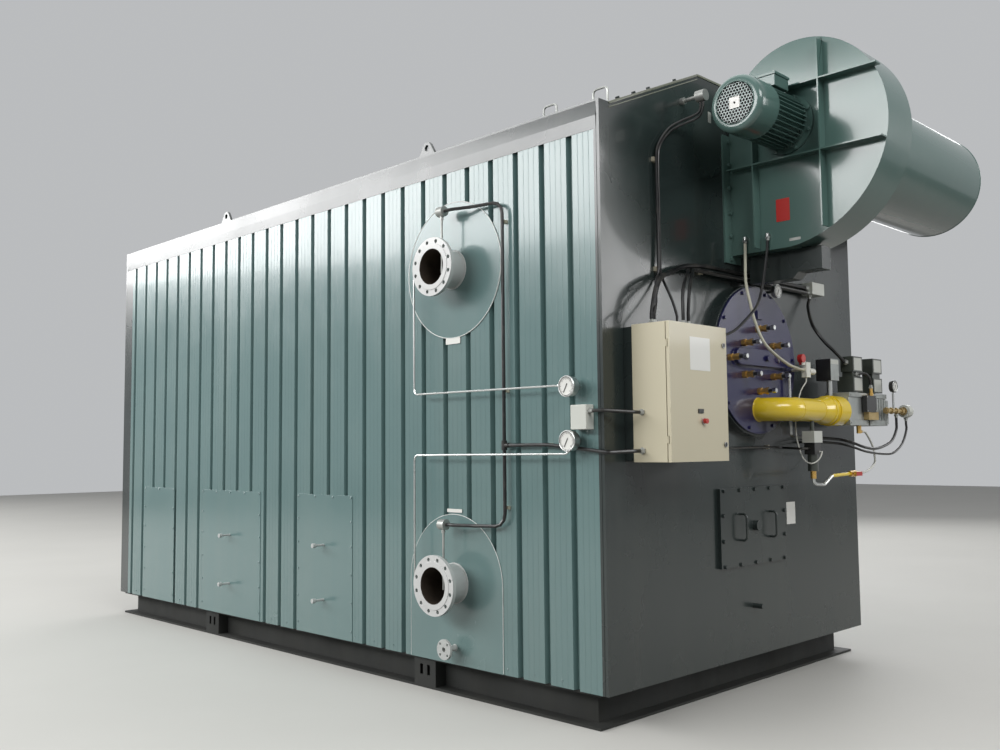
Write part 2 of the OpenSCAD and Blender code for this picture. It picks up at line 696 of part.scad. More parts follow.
// Gas pipe: elbow out of the burner plate, straight pipe and a cone to the valve
gas_y = burner_y - gas_bend;
pipe_end = gas_bend + gas_run;
cone_l = 85;
gas_wide = 168;
cone_end = pipe_end + cone_l;
module gas_pipe() color(gas_color) difference() {
    union() {
        translate([gas_bend, burner_y, gas_z]) rotate([0, 0, 180]) rotate_extrude(angle = 90)
            translate([gas_bend, 0]) circle(d = gas_od, $fn = 48);
        translate([gas_bend, gas_y, gas_z]) to_right() cylinder(d = gas_od, h = gas_run);
        translate([pipe_end, gas_y, gas_z]) to_right() cylinder(d1 = gas_od, d2 = gas_wide, h = cone_l);
    }
    translate([gas_bend, gas_y, gas_z]) to_right() cylinder(d = gas_bore, h = gas_run + cone_l + cut);
}
throttle_l = 190;
throttle_r = 95;
throttle_end = cone_end + throttle_l;
module throttle_valve() color(gas_color) translate([cone_end, gas_y, gas_z]) to_right() difference() {
    union() {
        cylinder(r = gas_wide / 2, h = throttle_l);
        translate([0, 0, 15]) cylinder(r = throttle_r - 5, h = 20);
        translate([0, 0, 64]) cylinder(r = throttle_r, h = throttle_l - 64);
    }
    translate([0, 0, -cut]) cylinder(d = gas_bore, h = throttle_l + 2 * cut);
}

// Double gas valve: two bodies, a link and a square end flange with its socket
valve_l = 250;
valve_d = 150;
valve_h = 207;
valve_low = 90;
valve_lip = 8;
link_l = 30;
valve_bore = 57;
train_end = throttle_end + 2 * valve_l + 2 * link_l;
module valve_body() translate([0, -valve_d / 2, -valve_low]) {
    cube([valve_l, valve_d, valve_h]);
    for (row = [[0, 34], [valve_h - 28, 28]]) translate([0, -valve_lip, row[0]])
        cube([valve_l, valve_d + 2 * valve_lip, row[1]]);
}
module gas_valves() color(alloy_color) translate([throttle_end, gas_y, gas_z]) difference() {
    union() {
        valve_body();
        translate([valve_l, 0, 0]) to_right() cylinder(d = 118, h = link_l);
        translate([valve_l + link_l, 0, 0]) valve_body();
        translate([2 * valve_l + link_l, -78, -78]) cube([link_l, 156, 156]);
    }
    translate([2 * valve_l, 0, 0]) to_right() cylinder(d = valve_bore, h = 2 * link_l + cut);
}
act_w = 130;
act_front = gas_y - 65;
act_z = gas_z - valve_low + valve_h;
servo_x = cone_end + 95;
servo_d = 100;
module valve_actuators() color(alloy_color) {
    for (i = [0, 1]) translate([throttle_end + 100 + i * (valve_l + link_l), act_front, act_z]) {
        translate([act_w / 2, 60, 0]) cylinder(d = 76, h = 12);
        translate([0, 0, 8]) cube([act_w, 110, 97]);
        translate([10, 10, 100]) cube([act_w - 20, 70, 40]);
        translate([0, 0, 135]) cube([act_w, 85, 98]);
    }
    translate([servo_x, gas_y - 12, gas_z + 191]) cube([107, servo_d, 135]);
    difference() {
        translate([servo_x + 40, gas_y + 20, gas_z]) cylinder(d = 34, h = 192);
        translate([servo_x, gas_y, gas_z]) to_right() cylinder(r = throttle_r + seat, h = 80);
    }
}
// Small parts on the face and at the inlet end of the gas train
out_y = gas_y - valve_d / 2 - 55;
out_z = gas_z + 8;
gland_x = throttle_end + 265;
module gas_switches() color(alloy_color) {
    face_y = gas_y - valve_d / 2;
    // Switch block across both bodies, with its coil and cable gland
    translate([throttle_end + 205, face_y - 34, gas_z - 54]) cube([140, 34, 50]);
    translate([throttle_end + 170, face_y - 40, gas_z - 6]) cube([136, 31, 106]);
    translate([gland_x, face_y - 25, gas_z + 98]) {
        cylinder(d = 28, h = 22, $fn = 6);
        cylinder(d = 20, h = 50);
    }
    // Fitting under the first body
    translate([throttle_end + 202, gas_y - 40, gas_z - valve_low - 50]) {
        cylinder(d = 30, h = 50, $fn = 6);
        translate([0, 0, 12]) to_right() cylinder(d = 18, h = 32);
    }
    // Manifold with its gauge and the round switch
    translate([train_end - 70, face_y, out_z]) to_front() cylinder(d = 34, h = 55);
    translate([train_end - 165, out_y, out_z]) to_right() {
        cylinder(d = 26, h = 280);
        for (z = [10, 78, 150, 232]) translate([0, 0, z]) cylinder(d = 44, h = 26, $fn = 6);
        translate([0, 0, 272]) cylinder(d = 56, h = 20);
        translate([0, 0, 284]) cylinder(d = 84, h = 56);
    }
    translate([train_end - 37, out_y, out_z]) cylinder(d = 14, h = 140);
    translate([train_end - 37, out_y + 12, out_z + 160]) to_front() gauge(36, 24);
}

// Pilot gas: two small valves under the main pipe, and the line with its cock
pilot_x = 330;
pilot_y = gas_y - 10;
module pilot_valves() color(alloy_color) translate([pilot_x, pilot_y, 0]) {
    translate([0, 0, 1480]) difference() {
        cylinder(d = 24, h = gas_z - 1480);
        translate([-20, gas_y - pilot_y, gas_z - 1480]) to_right() cylinder(d = gas_od + 2 * seat, h = 40);
    }
    translate([-50, -40, 1420]) cube([100, 80, 70]);
    translate([-38, -34, 1350]) cube([76, 68, 72]);
    translate([0, 0, 1250]) cylinder(d = 62, h = 102);
    translate([0, 0, 1205]) cylinder(d = 34, h = 48);
}
cock_x = 720;
pilot_run_y = pilot_y - 40;
module pilot_line() color(gas_color) {
    tube(bent([
        [pilot_x, pilot_y, 1205 - seat], [pilot_x, pilot_y, 1172],
        [pilot_x + 70, pilot_y - 30, 1168], [pilot_x + 150, pilot_run_y, 1218],
        [cock_x, pilot_run_y, 1225]], 24), 11);
    translate([cock_x - 4, pilot_run_y, 1225]) to_right() {
        cylinder(d = 36, h = 60);
        translate([0, 0, 56]) cylinder(d = 40, h = 30, $fn = 6);
        cylinder(d = 22, h = 112);
    }
    translate([cock_x + 26, pilot_run_y, 1225]) to_front() cylinder(d = 12, h = 30);
    translate([cock_x, pilot_run_y - 44, 1212]) cube([80, 16, 26]);
    tube(smooth([
        [cock_x + 100, pilot_run_y, 1225], [cock_x + 150, pilot_run_y, 1225],
        [cock_x + 262, pilot_run_y, 1243], [cock_x + 352, pilot_run_y, 1286],
        [cock_x + 359, pilot_run_y + 2, 1338], [cock_x + 340, pilot_run_y + 5, 1403],
        [cock_x + 265, pilot_run_y + 8, 1478], [throttle_end + 262, gas_y - 40, gas_z - valve_low - 38],
        [throttle_end + 234 + seat, gas_y - 40, gas_z - valve_low - 38]], 3), 7);
    // Riser behind the gas pipe
    tube(bent([
        [315, burner_y - seat, 1850], [315, burner_y - 28, 1850],
        [315, burner_y - 28, 1455], [315, pilot_y + 40 + seat, 1455]], 20), 10);
}

// Cables on the front
cable_r = 14;
twin_r = 9;
thin_r = 7;
cabinet_top = cabinet_z + cabinet_h;
module front_cables() color(cable_color) {
    // The thick cable from the cabinet to the front box
    tube(smooth([
        [cabinet_x + 100, front_y - 120, cabinet_top + seat], [cabinet_x + 100, front_y - 120, cabinet_top + 60],
        [-1051, front_y - 112, 2225], [-960, front_y - 84, 2300], [-835, front_y - 58, 2345],
        [-700, front_y - 44, 2392], [-487, front_y - 42, 2418], [-200, front_y - 42, 2418],
        [200, front_y - 42, 2418], [front_box_x - 140, front_y - 42, 2418],
        [front_box_x - 80 - seat, front_y - 42, 2418]], 3), cable_r);
    // Two cables that join it
    for (i = [0, 1]) tube(smooth([
        [cabinet_x + 222 + i * 46, front_y - 225, cabinet_top + seat],
        [cabinet_x + 222 + i * 46, front_y - 225, cabinet_top + 60],
        [cabinet_x + 252 + i * 58, front_y - 207, 2217], [-790 + i * 30, front_y - 130 - i * 10, 2330],
        [-660 + i * 20, front_y - 50 - i * 22, 2378], [-487, front_y - 30 - i * 22, 2388],
        [-200, front_y - 30 - i * 22, 2388], [200, front_y - 30 - i * 22, 2388],
        [front_box_x - 140, front_y - 30 - i * 22, 2388],
        [front_box_x - 80 - seat, front_y - 30 - i * 22, 2388]], 3), twin_r);
    // Two conduits from the front probe
    for (i = [0, 1]) tube(smooth([
        [front_probe_x, front_y - front_probe_l - 16 - 18 * i, front_probe_z - 32 - seat],
        [front_probe_x, front_y - front_probe_l - 16 - 18 * i, front_probe_z - 62],
        [front_probe_x - 24 + 16 * i, front_y - 118, 3245 - 14 * i],
        [front_probe_x - 90 + 14 * i, front_y - 60, 3205 - 16 * i], [-790 + 16 * i, front_y - 26, 3150 - 12 * i],
        [-885 + 18 * i, front_y - 23, 3040], [-905 + 18 * i, front_y - 23, 2940],
        [-905 + 18 * i, front_y - 23, 2700], [-906 + 18 * i, front_y - 23, 2358],
        each i == 0 ? [
            [-955, front_y - 40, 2290], [-1050, front_y - 110, 2160],
            [cabinet_x + 60, front_y - 165, cabinet_top + 50], [cabinet_x + 60, front_y - 165, cabinet_top + seat]]
        : [
            [-884, front_y - 36, 2298], [-912, front_y - 110, 2180],
            [cabinet_x + 240, front_y - 175, cabinet_top + 50], [cabinet_x + 240, front_y - 175, cabinet_top + seat]]
        ], 3), thin_r);
    // The low cable to the pilot valves
    tube(smooth([
        [cabinet_x + cabinet_w + seat, front_y - 125, 1390], [cabinet_x + cabinet_w + 50, front_y - 125, 1390],
        [-530, front_y - 100, 1388], [-300, front_y - 42, 1392], [0, front_y - 25, 1396],
        [190, front_y - 24, 1397], [272, front_y - 60, 1392], [254, front_y - 140, 1388],
        [236, front_y - 196, 1386], [258, gas_y - 10, 1385], [292 - seat, gas_y - 10, 1385]], 3), thin_r);
    // From the first actuator to the gland of the switch block
    tube(smooth([
        [throttle_end + 150, act_front + 10 - seat, act_z + 120], [throttle_end + 150, act_front - 16, act_z + 120],
        [throttle_end + 195, act_front - 32, act_z + 124], [throttle_end + 246, act_front - 37, act_z + 96],
        [gland_x, gas_y - 100, gas_z + 172], [gland_x, gas_y - 100, gas_z + 148 + seat]], 3), 8);
    // Two hoses from the manifold to the front plate
    tube(smooth([
        [train_end - 2, out_y, out_z - 22 - seat], [train_end - 2, out_y, 1545],
        [train_end - 10, out_y, 1499], [1171, out_y + 2, 1434], [1064, out_y + 10, 1396],
        [951, out_y + 20, 1380], [830, gas_y - 98, 1391], [765, gas_y - 50, 1420],
        [750, gas_y + 20, 1440], [700, front_y - 110, 1450], [630, front_y - 50, 1452],
        [630, front_y - seat, 1452]], 3), 9);
    tube(smooth([
        [train_end + 147, out_y, out_z - 42 - seat], [train_end + 147, out_y, 1545],
        [train_end + 147, out_y, 1500], [1326, out_y + 2, 1413], [1210, out_y + 8, 1355],
        [1107, out_y + 10, 1345], [951, out_y + 18, 1352], [830, gas_y - 98, 1366],
        [755, gas_y - 50, 1395], [735, gas_y + 20, 1414], [680, front_y - 110, 1424], [610, front_y - 50, 1426],
        [610, front_y - seat, 1426]], 3), 8);
}
module air_hoses() color([0.35, 0.36, 0.34]) {
    // Light hose from the fan housing to the air switch
    tube(smooth([
        [-165, front_y - 107, 2600], [-168, front_y - 109, 2540], [-205, front_y - 128, 2356],
        [-221, front_y - 160, 2235], [-248, front_y - 205, 2114], [-226, front_y - 240, 2000],
        [-142, front_y - 252, 1937], [69, front_y - 225, 1883], [247, front_y - 190, 1869],
        [340, front_y - 165, 1868], [380 - seat, front_y - 165, 1868]], 3), 9);
    // Dark hose from the fan housing to the cabinet
    tube(smooth([
        [-163, front_y - 254, 2600], [-165, front_y - 251, 2540], [-192, front_y - 240, 2373],
        [-214, front_y - 222, 2246], [-262, front_y - 214, 2175], [-385, front_y - 214, 2091],
        [-516, front_y - 230, 2030], [cabinet_x + cabinet_w + 50, front_y - 242, 1996],
        [cabinet_x + cabinet_w + seat, front_y - 242, 1996]], 3), 8);
    // Cable from the front box to the first actuator
    tube(smooth([
        [front_box_x - 55, front_y - 42, front_box_z - 40 - seat], [front_box_x - 55, front_y - 42, front_box_z - 70],
        [665, front_y - 52, 2300], [634, front_y - 78, 2230], [610, front_y - 110, 2164],
        [607, front_y - 145, 2110], [629, front_y - 180, 2052], [665, front_y - 215, 2002],
        [724, gas_y - 15, 1955], [throttle_end + 72, gas_y - 20, act_z + 196],
        [throttle_end + 100 - seat, gas_y - 20, act_z + 196]], 3), 11);
    // Air switch with its knob on a stub on the burner plate
    translate([405, burner_y, 1872]) to_front() cylinder(d = 18, h = 80);
    translate([380, front_y - 180, 1822]) cube([50, 33, 93]);
    translate([336, front_y - 172, 1896]) cube([50, 16, 30]);
    translate([330, front_y - 160, 1934]) to_front() cylinder(r = 26, h = 30);
    translate([426, front_y - 165, 1860]) to_right() cylinder(d = 40, h = 64);
    // Thin line from the switch, behind the gas pipe, to the pilot valves
    tube(smooth([
        [402, front_y - 165, 1822 - seat], [400, front_y - 164, 1795], [365, front_y - 146, 1740],
        [340, front_y - 132, 1650], [320, front_y - 128, 1550], [292, front_y - 150, 1440],
        [278, front_y - 192, 1330], [276, front_y - 246, 1296], [318, front_y - 276, 1322],
        [346, gas_y - 62, 1366], [346, pilot_y - 34 - seat, 1366]], 3), 4);
}

// Fan: spiral housing with ribs and the flange on the front plate
fan_y = -half_l - fan_reach;
flange_low = 2480;
flange_high = 3246;
duct_foot = 2526;
tongue_angle = 62;
spiral_turns = [for (a = [-tongue_angle:3.5:176]) a];
function spiral(a) = let (r = scroll_r0 + scroll_step * a) [-r * sin(a), r * cos(a)];
scroll_outline = concat(
    [[fan_reach - plate_t, flange_high - 34 - fan_z]],
    [for (a = spiral_turns) spiral(a)],
    [[0, duct_foot - fan_z], [fan_reach - plate_t, duct_foot - fan_z]]);
rib_out = 30;
rib_t = 8;
module scroll_plane(x, t) translate([x, fan_y, fan_z])
    rotate([90, 0, 90]) linear_extrude(t) children();
module fan_housing() color(fan_color) {
    difference() {
        union() {
            scroll_plane(-scroll_w / 2, scroll_w) polygon(scroll_outline);
            translate([-scroll_w / 2 - 40, front_y - 12, flange_low])
                cube([scroll_w + 80, 12, flange_high - flange_low]);
        }
    }
    // Ribs on the motor side
    translate([-scroll_w / 2 - rib_out, 0, 0]) {
        translate([0, fan_y - 233, fan_z - 626]) cube([rib_out, rib_t, 1080]);
        translate([0, fan_y + 185, fan_z - 688]) cube([rib_out, rib_t, 640]);
        translate([0, fan_y - 559, fan_z + 195]) cube([rib_out, 560, rib_t]);
        translate([0, fan_y - 577, fan_z - 205]) cube([rib_out, fan_reach + 532, rib_t]);
    }
}

// Motor on the housing's left side, finned, with a perforated cowl
motor_x = -scroll_w / 2 - motor_l;
cowl_l = 190;
fin_count = 36;
module fan_motor() color(fan_color) translate([-scroll_w / 2, fan_y, fan_z]) to_left() {
    cylinder(r = motor_r + 14, h = 16);
    cylinder(r = motor_r - 30, h = motor_l - cowl_l + 20);
    translate([0, 0, 16]) cylinder(r = motor_r - 18, h = 34);
    for (i = [0:fin_count - 1]) rotate([0, 0, i * 360 / fin_count])
        translate([motor_r - 32, -2, 40]) cube([28, 4, motor_l - cowl_l - 40]);
}
grille_r = 108;
module motor_cowl() color(fan_color)
    translate([motor_x, fan_y, fan_z]) to_right() difference() {
        union() {
            translate([0, 0, 30]) cylinder(r = motor_r, h = cowl_l - 30);
            rotate_extrude() polygon(concat(
                [[0, 0], [motor_r - 30, 0]],
                [for (a = [15:15:90]) [motor_r - 30 + 30 * sin(a), 30 - 30 * cos(a)]],
                [[0, 30]]));
        }
        translate([0, 0, 16]) cylinder(r = motor_r - 6, h = cowl_l);
        for (ring = [1:6]) circle_of(ring * 6, ring * 17 + 4)
            translate([0, 0, -cut]) cylinder(d = 9, h = 20, $fn = 6);
    }
module terminal_box() color(fan_color)
    translate([-scroll_w / 2 - 250, fan_y - 75, fan_z + motor_r - 4 + seat]) {
        cube([150, 150, 70]);
        translate([-6, -6, 62]) cube([162, 162, 16]);
    }
module intake_silencer() color(fan_color)
    translate([scroll_w / 2, fan_y, fan_z]) to_right() difference() {
        cylinder(r = silencer_r, h = silencer_l, $fn = 96);
        translate([0, 0, silencer_l - 60]) cylinder(r = silencer_r - 40, h = 61, $fn = 96);
    }
module fan_foot() color(plate_color) translate([-60, 0, 0]) rotate([90, 0, 90]) linear_extrude(100)
    polygon([[front_y - 12, duct_foot], [front_y - 12, flange_low], [front_y, flange_low],
        [front_y, duct_foot - 82], [front_y - 68, duct_foot - 82], [front_y - 68, duct_foot - 166],
        [fan_y + 37, duct_foot - 166],
        [fan_y + 1, duct_foot - 131], [fan_y - 145, duct_foot - 131], [fan_y - 145, duct_foot]]);

// Front hatch with its handles and centre port
hatch_t = 22;
module front_hatch() color(plate_color) translate([0, front_y, hatch_z]) {
    translate([-hatch_w / 2, -hatch_t, -hatch_h / 2]) cube([hatch_w, hatch_t, hatch_h]);
    to_front() {
        cylinder(d = 60, h = 52);
        for (side = [-1, 1]) translate([side * 165, 0, hatch_t])
            bow_handle(150, 46, 14);
        translate([0, 469 - hatch_z, 0]) cylinder(d = 30, h = 60);
    }
}

base_frame();
cross_beams();
bottom_sheet();
left_cladding();
right_cladding();
top_fascia();
corner_posts();
front_plate();
rear_plate();
roof();
roof_handles();
lifting_lugs();
round_cover();
arched_cover();
side_covers();
upper_nozzle();
lower_nozzle();
drain_nozzle();
temperature_probes();
side_conduit();
cable_clips();
impulse_tubes();
pressure_gauges();
junction_boxes();
cabinet_frame();
control_cabinet();
cabinet_door();
door_switches();
burner_ring();
burner_plate();
burner_lances();
gas_pipe();
throttle_valve();
gas_valves();
valve_actuators();
gas_switches();
pilot_valves();
pilot_line();
front_cables();
air_hoses();
fan_housing();
fan_motor();
motor_cowl();
terminal_box();
intake_silencer();
fan_foot();
front_hatch();
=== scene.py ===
# %% [markdown]
# # An industrial boiler, dressed for its portrait
# The CAD part brings every solid of this boiler at its real place and size. This script gives
# each one its finish, and adds what a drawing office leaves to the workshop: bolt heads, weld
# beads, fine pressings in the sheets, dials, cable glands and smooth cables. All lengths here
# are metres in the frame of the CAD part: +Z up, the burner front towards -Y, the water
# nozzles towards -X.

# %% Load the CAD part and its record
import json
import math

import bpy
import bmesh
from mathutils import Euler, Matrix, Vector


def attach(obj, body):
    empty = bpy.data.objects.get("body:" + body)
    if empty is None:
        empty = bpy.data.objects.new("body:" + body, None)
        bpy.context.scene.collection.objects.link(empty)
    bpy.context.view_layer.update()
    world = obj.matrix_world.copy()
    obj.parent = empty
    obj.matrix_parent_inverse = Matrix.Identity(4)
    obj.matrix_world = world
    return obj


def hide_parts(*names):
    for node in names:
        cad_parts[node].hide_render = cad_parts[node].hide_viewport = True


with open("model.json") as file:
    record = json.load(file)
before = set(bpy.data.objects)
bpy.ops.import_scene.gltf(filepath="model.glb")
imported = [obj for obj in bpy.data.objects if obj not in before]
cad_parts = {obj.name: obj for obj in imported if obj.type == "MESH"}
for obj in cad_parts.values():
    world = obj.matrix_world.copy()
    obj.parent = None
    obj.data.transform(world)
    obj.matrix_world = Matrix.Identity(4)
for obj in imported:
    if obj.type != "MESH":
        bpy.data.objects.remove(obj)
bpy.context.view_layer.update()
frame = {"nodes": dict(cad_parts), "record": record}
nodes = frame["nodes"]

# %% [markdown]
# ## Camera
# The photograph was taken at eye height, close to the front left corner. A plain pinhole camera
# is fitted to the drawing's corners, so a piece of the drawing lands on its place in the picture.

# %% Camera at the photograph's place
CAMERA_PLACE = (-5.2185, -5.9346, 1.3985)
CAMERA_HEADING = 44.743
CAMERA_TILT = 4.290
CAMERA_ROLL = -0.5565
CAMERA_LENS = 35.69


def aim(heading, tilt, roll):
    """Rotation of a camera that looks along a heading from +Y towards +X."""
    turn = Euler((math.radians(90 + tilt), 0, math.radians(-heading))).to_matrix()
    return turn @ Matrix.Rotation(math.radians(roll), 3, "Z")


camera = bpy.data.objects.new("camera", bpy.data.cameras.new("camera"))
bpy.context.collection.objects.link(camera)
camera.location = CAMERA_PLACE
camera.rotation_euler = aim(CAMERA_HEADING, CAMERA_TILT, CAMERA_ROLL).to_euler()
camera.data.lens = CAMERA_LENS
camera.data.sensor_width = 36
camera.data.clip_end = 200
bpy.context.scene.camera = camera
print("camera at", CAMERA_PLACE)

# %% [markdown]
# ## Shader maths
# A finish is easier to read as a formula than as boxes and wires. This small class wraps a
# socket and turns + and * into Math nodes, and `node` adds any other node.


# %% A socket that can be calculated with
class Value:
    def __init__(self, shader, socket):
        self.shader, self.socket = shader, socket

    def math(self, operation, other):
        return self.shader.node("ShaderNodeMath", {"operation": operation}, {0: self, 1: other})

    def __add__(self, other): return self.math("ADD", other)
    def __radd__(self, other): return self.math("ADD", other)
    def __mul__(self, other): return self.math("MULTIPLY", other)
    def __rmul__(self, other): return self.math("MULTIPLY", other)


def linear(colour):
    """Screen colour, 0 to 255, as the linear colour that Blender's sockets take."""
    def one(v):
        v /= 255
        return v / 12.92 if v < 0.04045 else ((v + 0.055) / 1.055) ** 2.4
    return (*[one(v) for v in colour], 1.0)


# %% A shader built on the Principled surface
class Shader:
    def __init__(self, name, **fixed):
        self.material = bpy.data.materials.new(name)
        self.material.use_nodes = True
        self.tree = self.material.node_tree
        self.tree.nodes.clear()
        self.output = self.tree.nodes.new("ShaderNodeOutputMaterial")
        self.surface = self.tree.nodes.new("ShaderNodeBsdfPrincipled")
        self.tree.links.new(self.surface.outputs[0], self.output.inputs[0])
        self.place = self.node("ShaderNodeTexCoord", out="Object")
        for socket, value in fixed.items():
            self.surface.inputs[socket.replace("_", " ")].default_value = value

    def node(self, kind, settings=None, inputs=None, out=0):
        node = self.tree.nodes.new(kind)
        for key, value in (settings or {}).items():
            if key == "stops":
                while len(node.color_ramp.elements) < len(value):
                    node.color_ramp.elements.new(1.0)
                for stop, (place, shade) in zip(node.color_ramp.elements, value):
                    stop.position = place
                    stop.color = (shade, shade, shade, 1)
            else:
                setattr(node, key, value)
        for key, value in (inputs or {}).items():
            if isinstance(value, Value):
                self.tree.links.new(value.socket, node.inputs[key])
            elif value is not None:
                node.inputs[key].default_value = value
        return Value(self, node.outputs[out])

    def noise(self, scale, detail=3.0, stretch=(1, 1, 1), rough=0.55):
        where = self.node("ShaderNodeMapping", {}, {"Vector": self.place, "Scale": stretch})
        return self.node("ShaderNodeTexNoise", {}, {
            "Vector": where, "Scale": scale, "Detail": detail, "Roughness": rough})

    def ramp(self, value, *stops):
        return self.node("ShaderNodeValToRGB", {"stops": stops}, {"Fac": value})

    def axis(self, name):
        return self.node("ShaderNodeSeparateXYZ", {}, {"Vector": self.place}, out=name)

    def mix(self, factor, a, b):
        return self.node("ShaderNodeMix", {"data_type": "RGBA"}, {0: factor, 6: a, 7: b}, out=2)

    def wire(self, **sockets):
        for socket, value in sockets.items():
            self.tree.links.new(value.socket, self.surface.inputs[socket.replace("_", " ")])

    def bump(self, height, strength=0.2, distance=0.001, normal=None):
        return self.node("ShaderNodeBump", {}, {
            "Height": height, "Strength": strength, "Distance": distance, "Normal": normal})


# %% [markdown]
# ## Paint
# Most of the boiler is enamelled steel. Enamel is a smooth coat that is never quite even: it
# carries a faint orange peel, some dust that gathers low down, and drips of dirt. One function
# makes all the paints from a colour, a gloss and an amount of dust.

# %% Enamel paints
DUST = linear((168, 160, 144))


def enamel(name, colour, rough=0.25, dust=0.25, peel=0.12, wave=0.0, shift=0.06, coat=0.3):
    paint = Shader(name, Coat_Roughness=0.08)
    cloud = paint.noise(1.7, 4.0)
    fine = paint.noise(90.0, 2.0)
    streak = paint.noise(5.0, 4.0, (1, 1, 0.06))
    low = paint.ramp(paint.axis("Z"), (0.0, 1.0), (0.22, 0.35), (1.0, 0.0))
    grime = paint.ramp(streak * 0.6 + cloud * 0.4, (0.44, 0.0), (0.7, 1.0))
    soil = (grime * 0.6 + low * 0.5) * dust
    base = linear(colour)
    deep = [v * (1 - shift) for v in base[:3]] + [1.0]
    pale = [min(1.0, v * (1 + shift)) for v in base[:3]] + [1.0]
    body = paint.mix(cloud, deep, pale)
    paint.wire(
        Base_Color=paint.mix(soil, body, DUST),
        Roughness=paint.ramp(cloud, (0.3, rough * 0.8), (0.7, rough * 1.25)) + soil * 0.5,
        Normal=paint.bump(fine, peel, 0.0004, paint.bump(cloud, wave, 0.01) if wave else None))
    paint.surface.inputs["Coat Weight"].default_value = coat
    return paint.material


cladding_paint = enamel("coated sheet, light grey-green", (102, 129, 128), rough=0.2, dust=0.1, wave=0.25)
dark_paint = enamel("dark green-grey enamel", (38, 47, 46), rough=0.26, dust=0.05, wave=0.1)
base_paint = enamel("beam enamel", (14, 19, 18), rough=0.7, dust=0.04, coat=0.0)
fan_paint = enamel("fan enamel, grey-green", (84, 112, 106), rough=0.18, dust=0.05)
nozzle_paint = enamel("primer, light grey", (186, 190, 188), rough=0.45, dust=0.25)
box_paint = enamel("housing plastic, light grey", (206, 208, 200), rough=0.4, dust=0.1)
cabinet_paint = enamel("powder coat, warm grey", (206, 198, 171), rough=0.42, dust=0.05, peel=0.3)
gas_paint = enamel("gas yellow enamel", (240, 208, 44), rough=0.2, dust=0.04)
burner_paint = enamel("burner blue enamel", (26, 26, 74), rough=0.22, dust=0.04)
red_paint = enamel("red plastic", (190, 34, 26), rough=0.3, dust=0.04)
white_paint = enamel("white plate", (232, 232, 226), rough=0.4, dust=0.1)
black_plastic = enamel("black plastic", (26, 27, 28), rough=0.38, dust=0.1)
actuator_paint = enamel("drive housing, dark olive", (62, 68, 62), rough=0.32, dust=0.12, peel=0.2)
panel_paint = enamel("drive panel, pale", (196, 198, 190), rough=0.42, dust=0.06)
# Painted highlight: the gable's fold bars belong to the dark roof enamel and are painted this paler olive for the
# light along the fold.
fold_highlight_paint = enamel("folded edge enamel, painted highlight", (122, 125, 110), rough=0.3, dust=0.2)
# Matt black: the colour of the dark screw on the cowl plate, and painted shade on the disc behind the cowl's grille.
matt_black_and_painted_shade = enamel("matt black, and painted shade inside the cowl", (12, 13, 13), rough=0.95, dust=0.0, coat=0.0)
# Painted highlight: the near-white strips round the side covers stand for the light catching the covers' rim.
rim_highlight_paint = enamel("edging strip, painted highlight", (214, 218, 214), rough=0.3, dust=0.05)
flange_paint = enamel("flange face, pale primer", (204, 205, 203), rough=0.4, dust=0.08)
print("paints:", len(bpy.data.materials))

# %% [markdown]
# ## Bare metals
# Steel and brass show their machining: fine scratches along one direction, and dull patches
# where hands and weather have been.


# %% Steel, brass, cast alloy
def bare_metal(name, colour, rough=0.3, dull=0.3, grain=(1, 1, 14), metallic=1.0):
    metal = Shader(name, Metallic=metallic)
    patch = metal.noise(9.0, 4.0)
    lines = metal.noise(220.0, 2.0, grain)
    base = linear(colour)
    dark = [v * (1 - dull) for v in base[:3]] + [1.0]
    metal.wire(
        Base_Color=metal.mix(metal.ramp(patch, (0.35, 0.0), (0.7, 1.0)), base, dark),
        Roughness=metal.ramp(patch * 0.7 + lines * 0.3, (0.3, rough * 0.7), (0.7, min(1.0, rough * 1.5))),
        Normal=metal.bump(lines, 0.12, 0.0003))
    return metal.material


steel = bare_metal("bright steel", (196, 198, 196), rough=0.28)
zinc = bare_metal("zinc plate", (176, 178, 174), rough=0.42, dull=0.3, metallic=0.75)
clip_metal = bare_metal("clip metal", (214, 206, 184), rough=0.4, dull=0.2, metallic=0.5)
# Bare steel inside the nozzle bores, its tone made dark as painted shade for the pipe that goes on deep into the
# boiler.
bore_metal_and_shade = bare_metal("unpainted bore, darkened as painted shade", (74, 64, 54), rough=0.6, dull=0.5, metallic=0.4)
brass = bare_metal("brass", (224, 182, 104), rough=0.3, dull=0.2, metallic=0.8)
dull_brass = bare_metal("dull brass", (178, 156, 110), rough=0.45, dull=0.25, metallic=0.7)
cast_alloy = bare_metal("cast alloy", (164, 168, 166), rough=0.5, dull=0.2, grain=(1, 1, 1), metallic=0.6)


# %% Cable sheath and hose
def sheath(name, colour, rough=0.45):
    skin = Shader(name)
    fine = skin.noise(160.0, 2.0)
    scuff = skin.ramp(skin.noise(14.0, 4.0), (0.5, 0.0), (0.75, 1.0))
    base = linear(colour)
    skin.wire(
        Base_Color=skin.mix(scuff * 0.06, base, DUST),
        Roughness=scuff * 0.25 + rough,
        Normal=skin.bump(fine, 0.15, 0.0004))
    return skin.material


cable_black = sheath("cable sheath, black", (14, 14, 15), 0.3)
hose_pale = sheath("hose, pale", (196, 194, 176), 0.42)
hose_white = sheath("hose, white", (222, 222, 214), 0.4)

# %% [markdown]
# ## What each CAD node is painted with

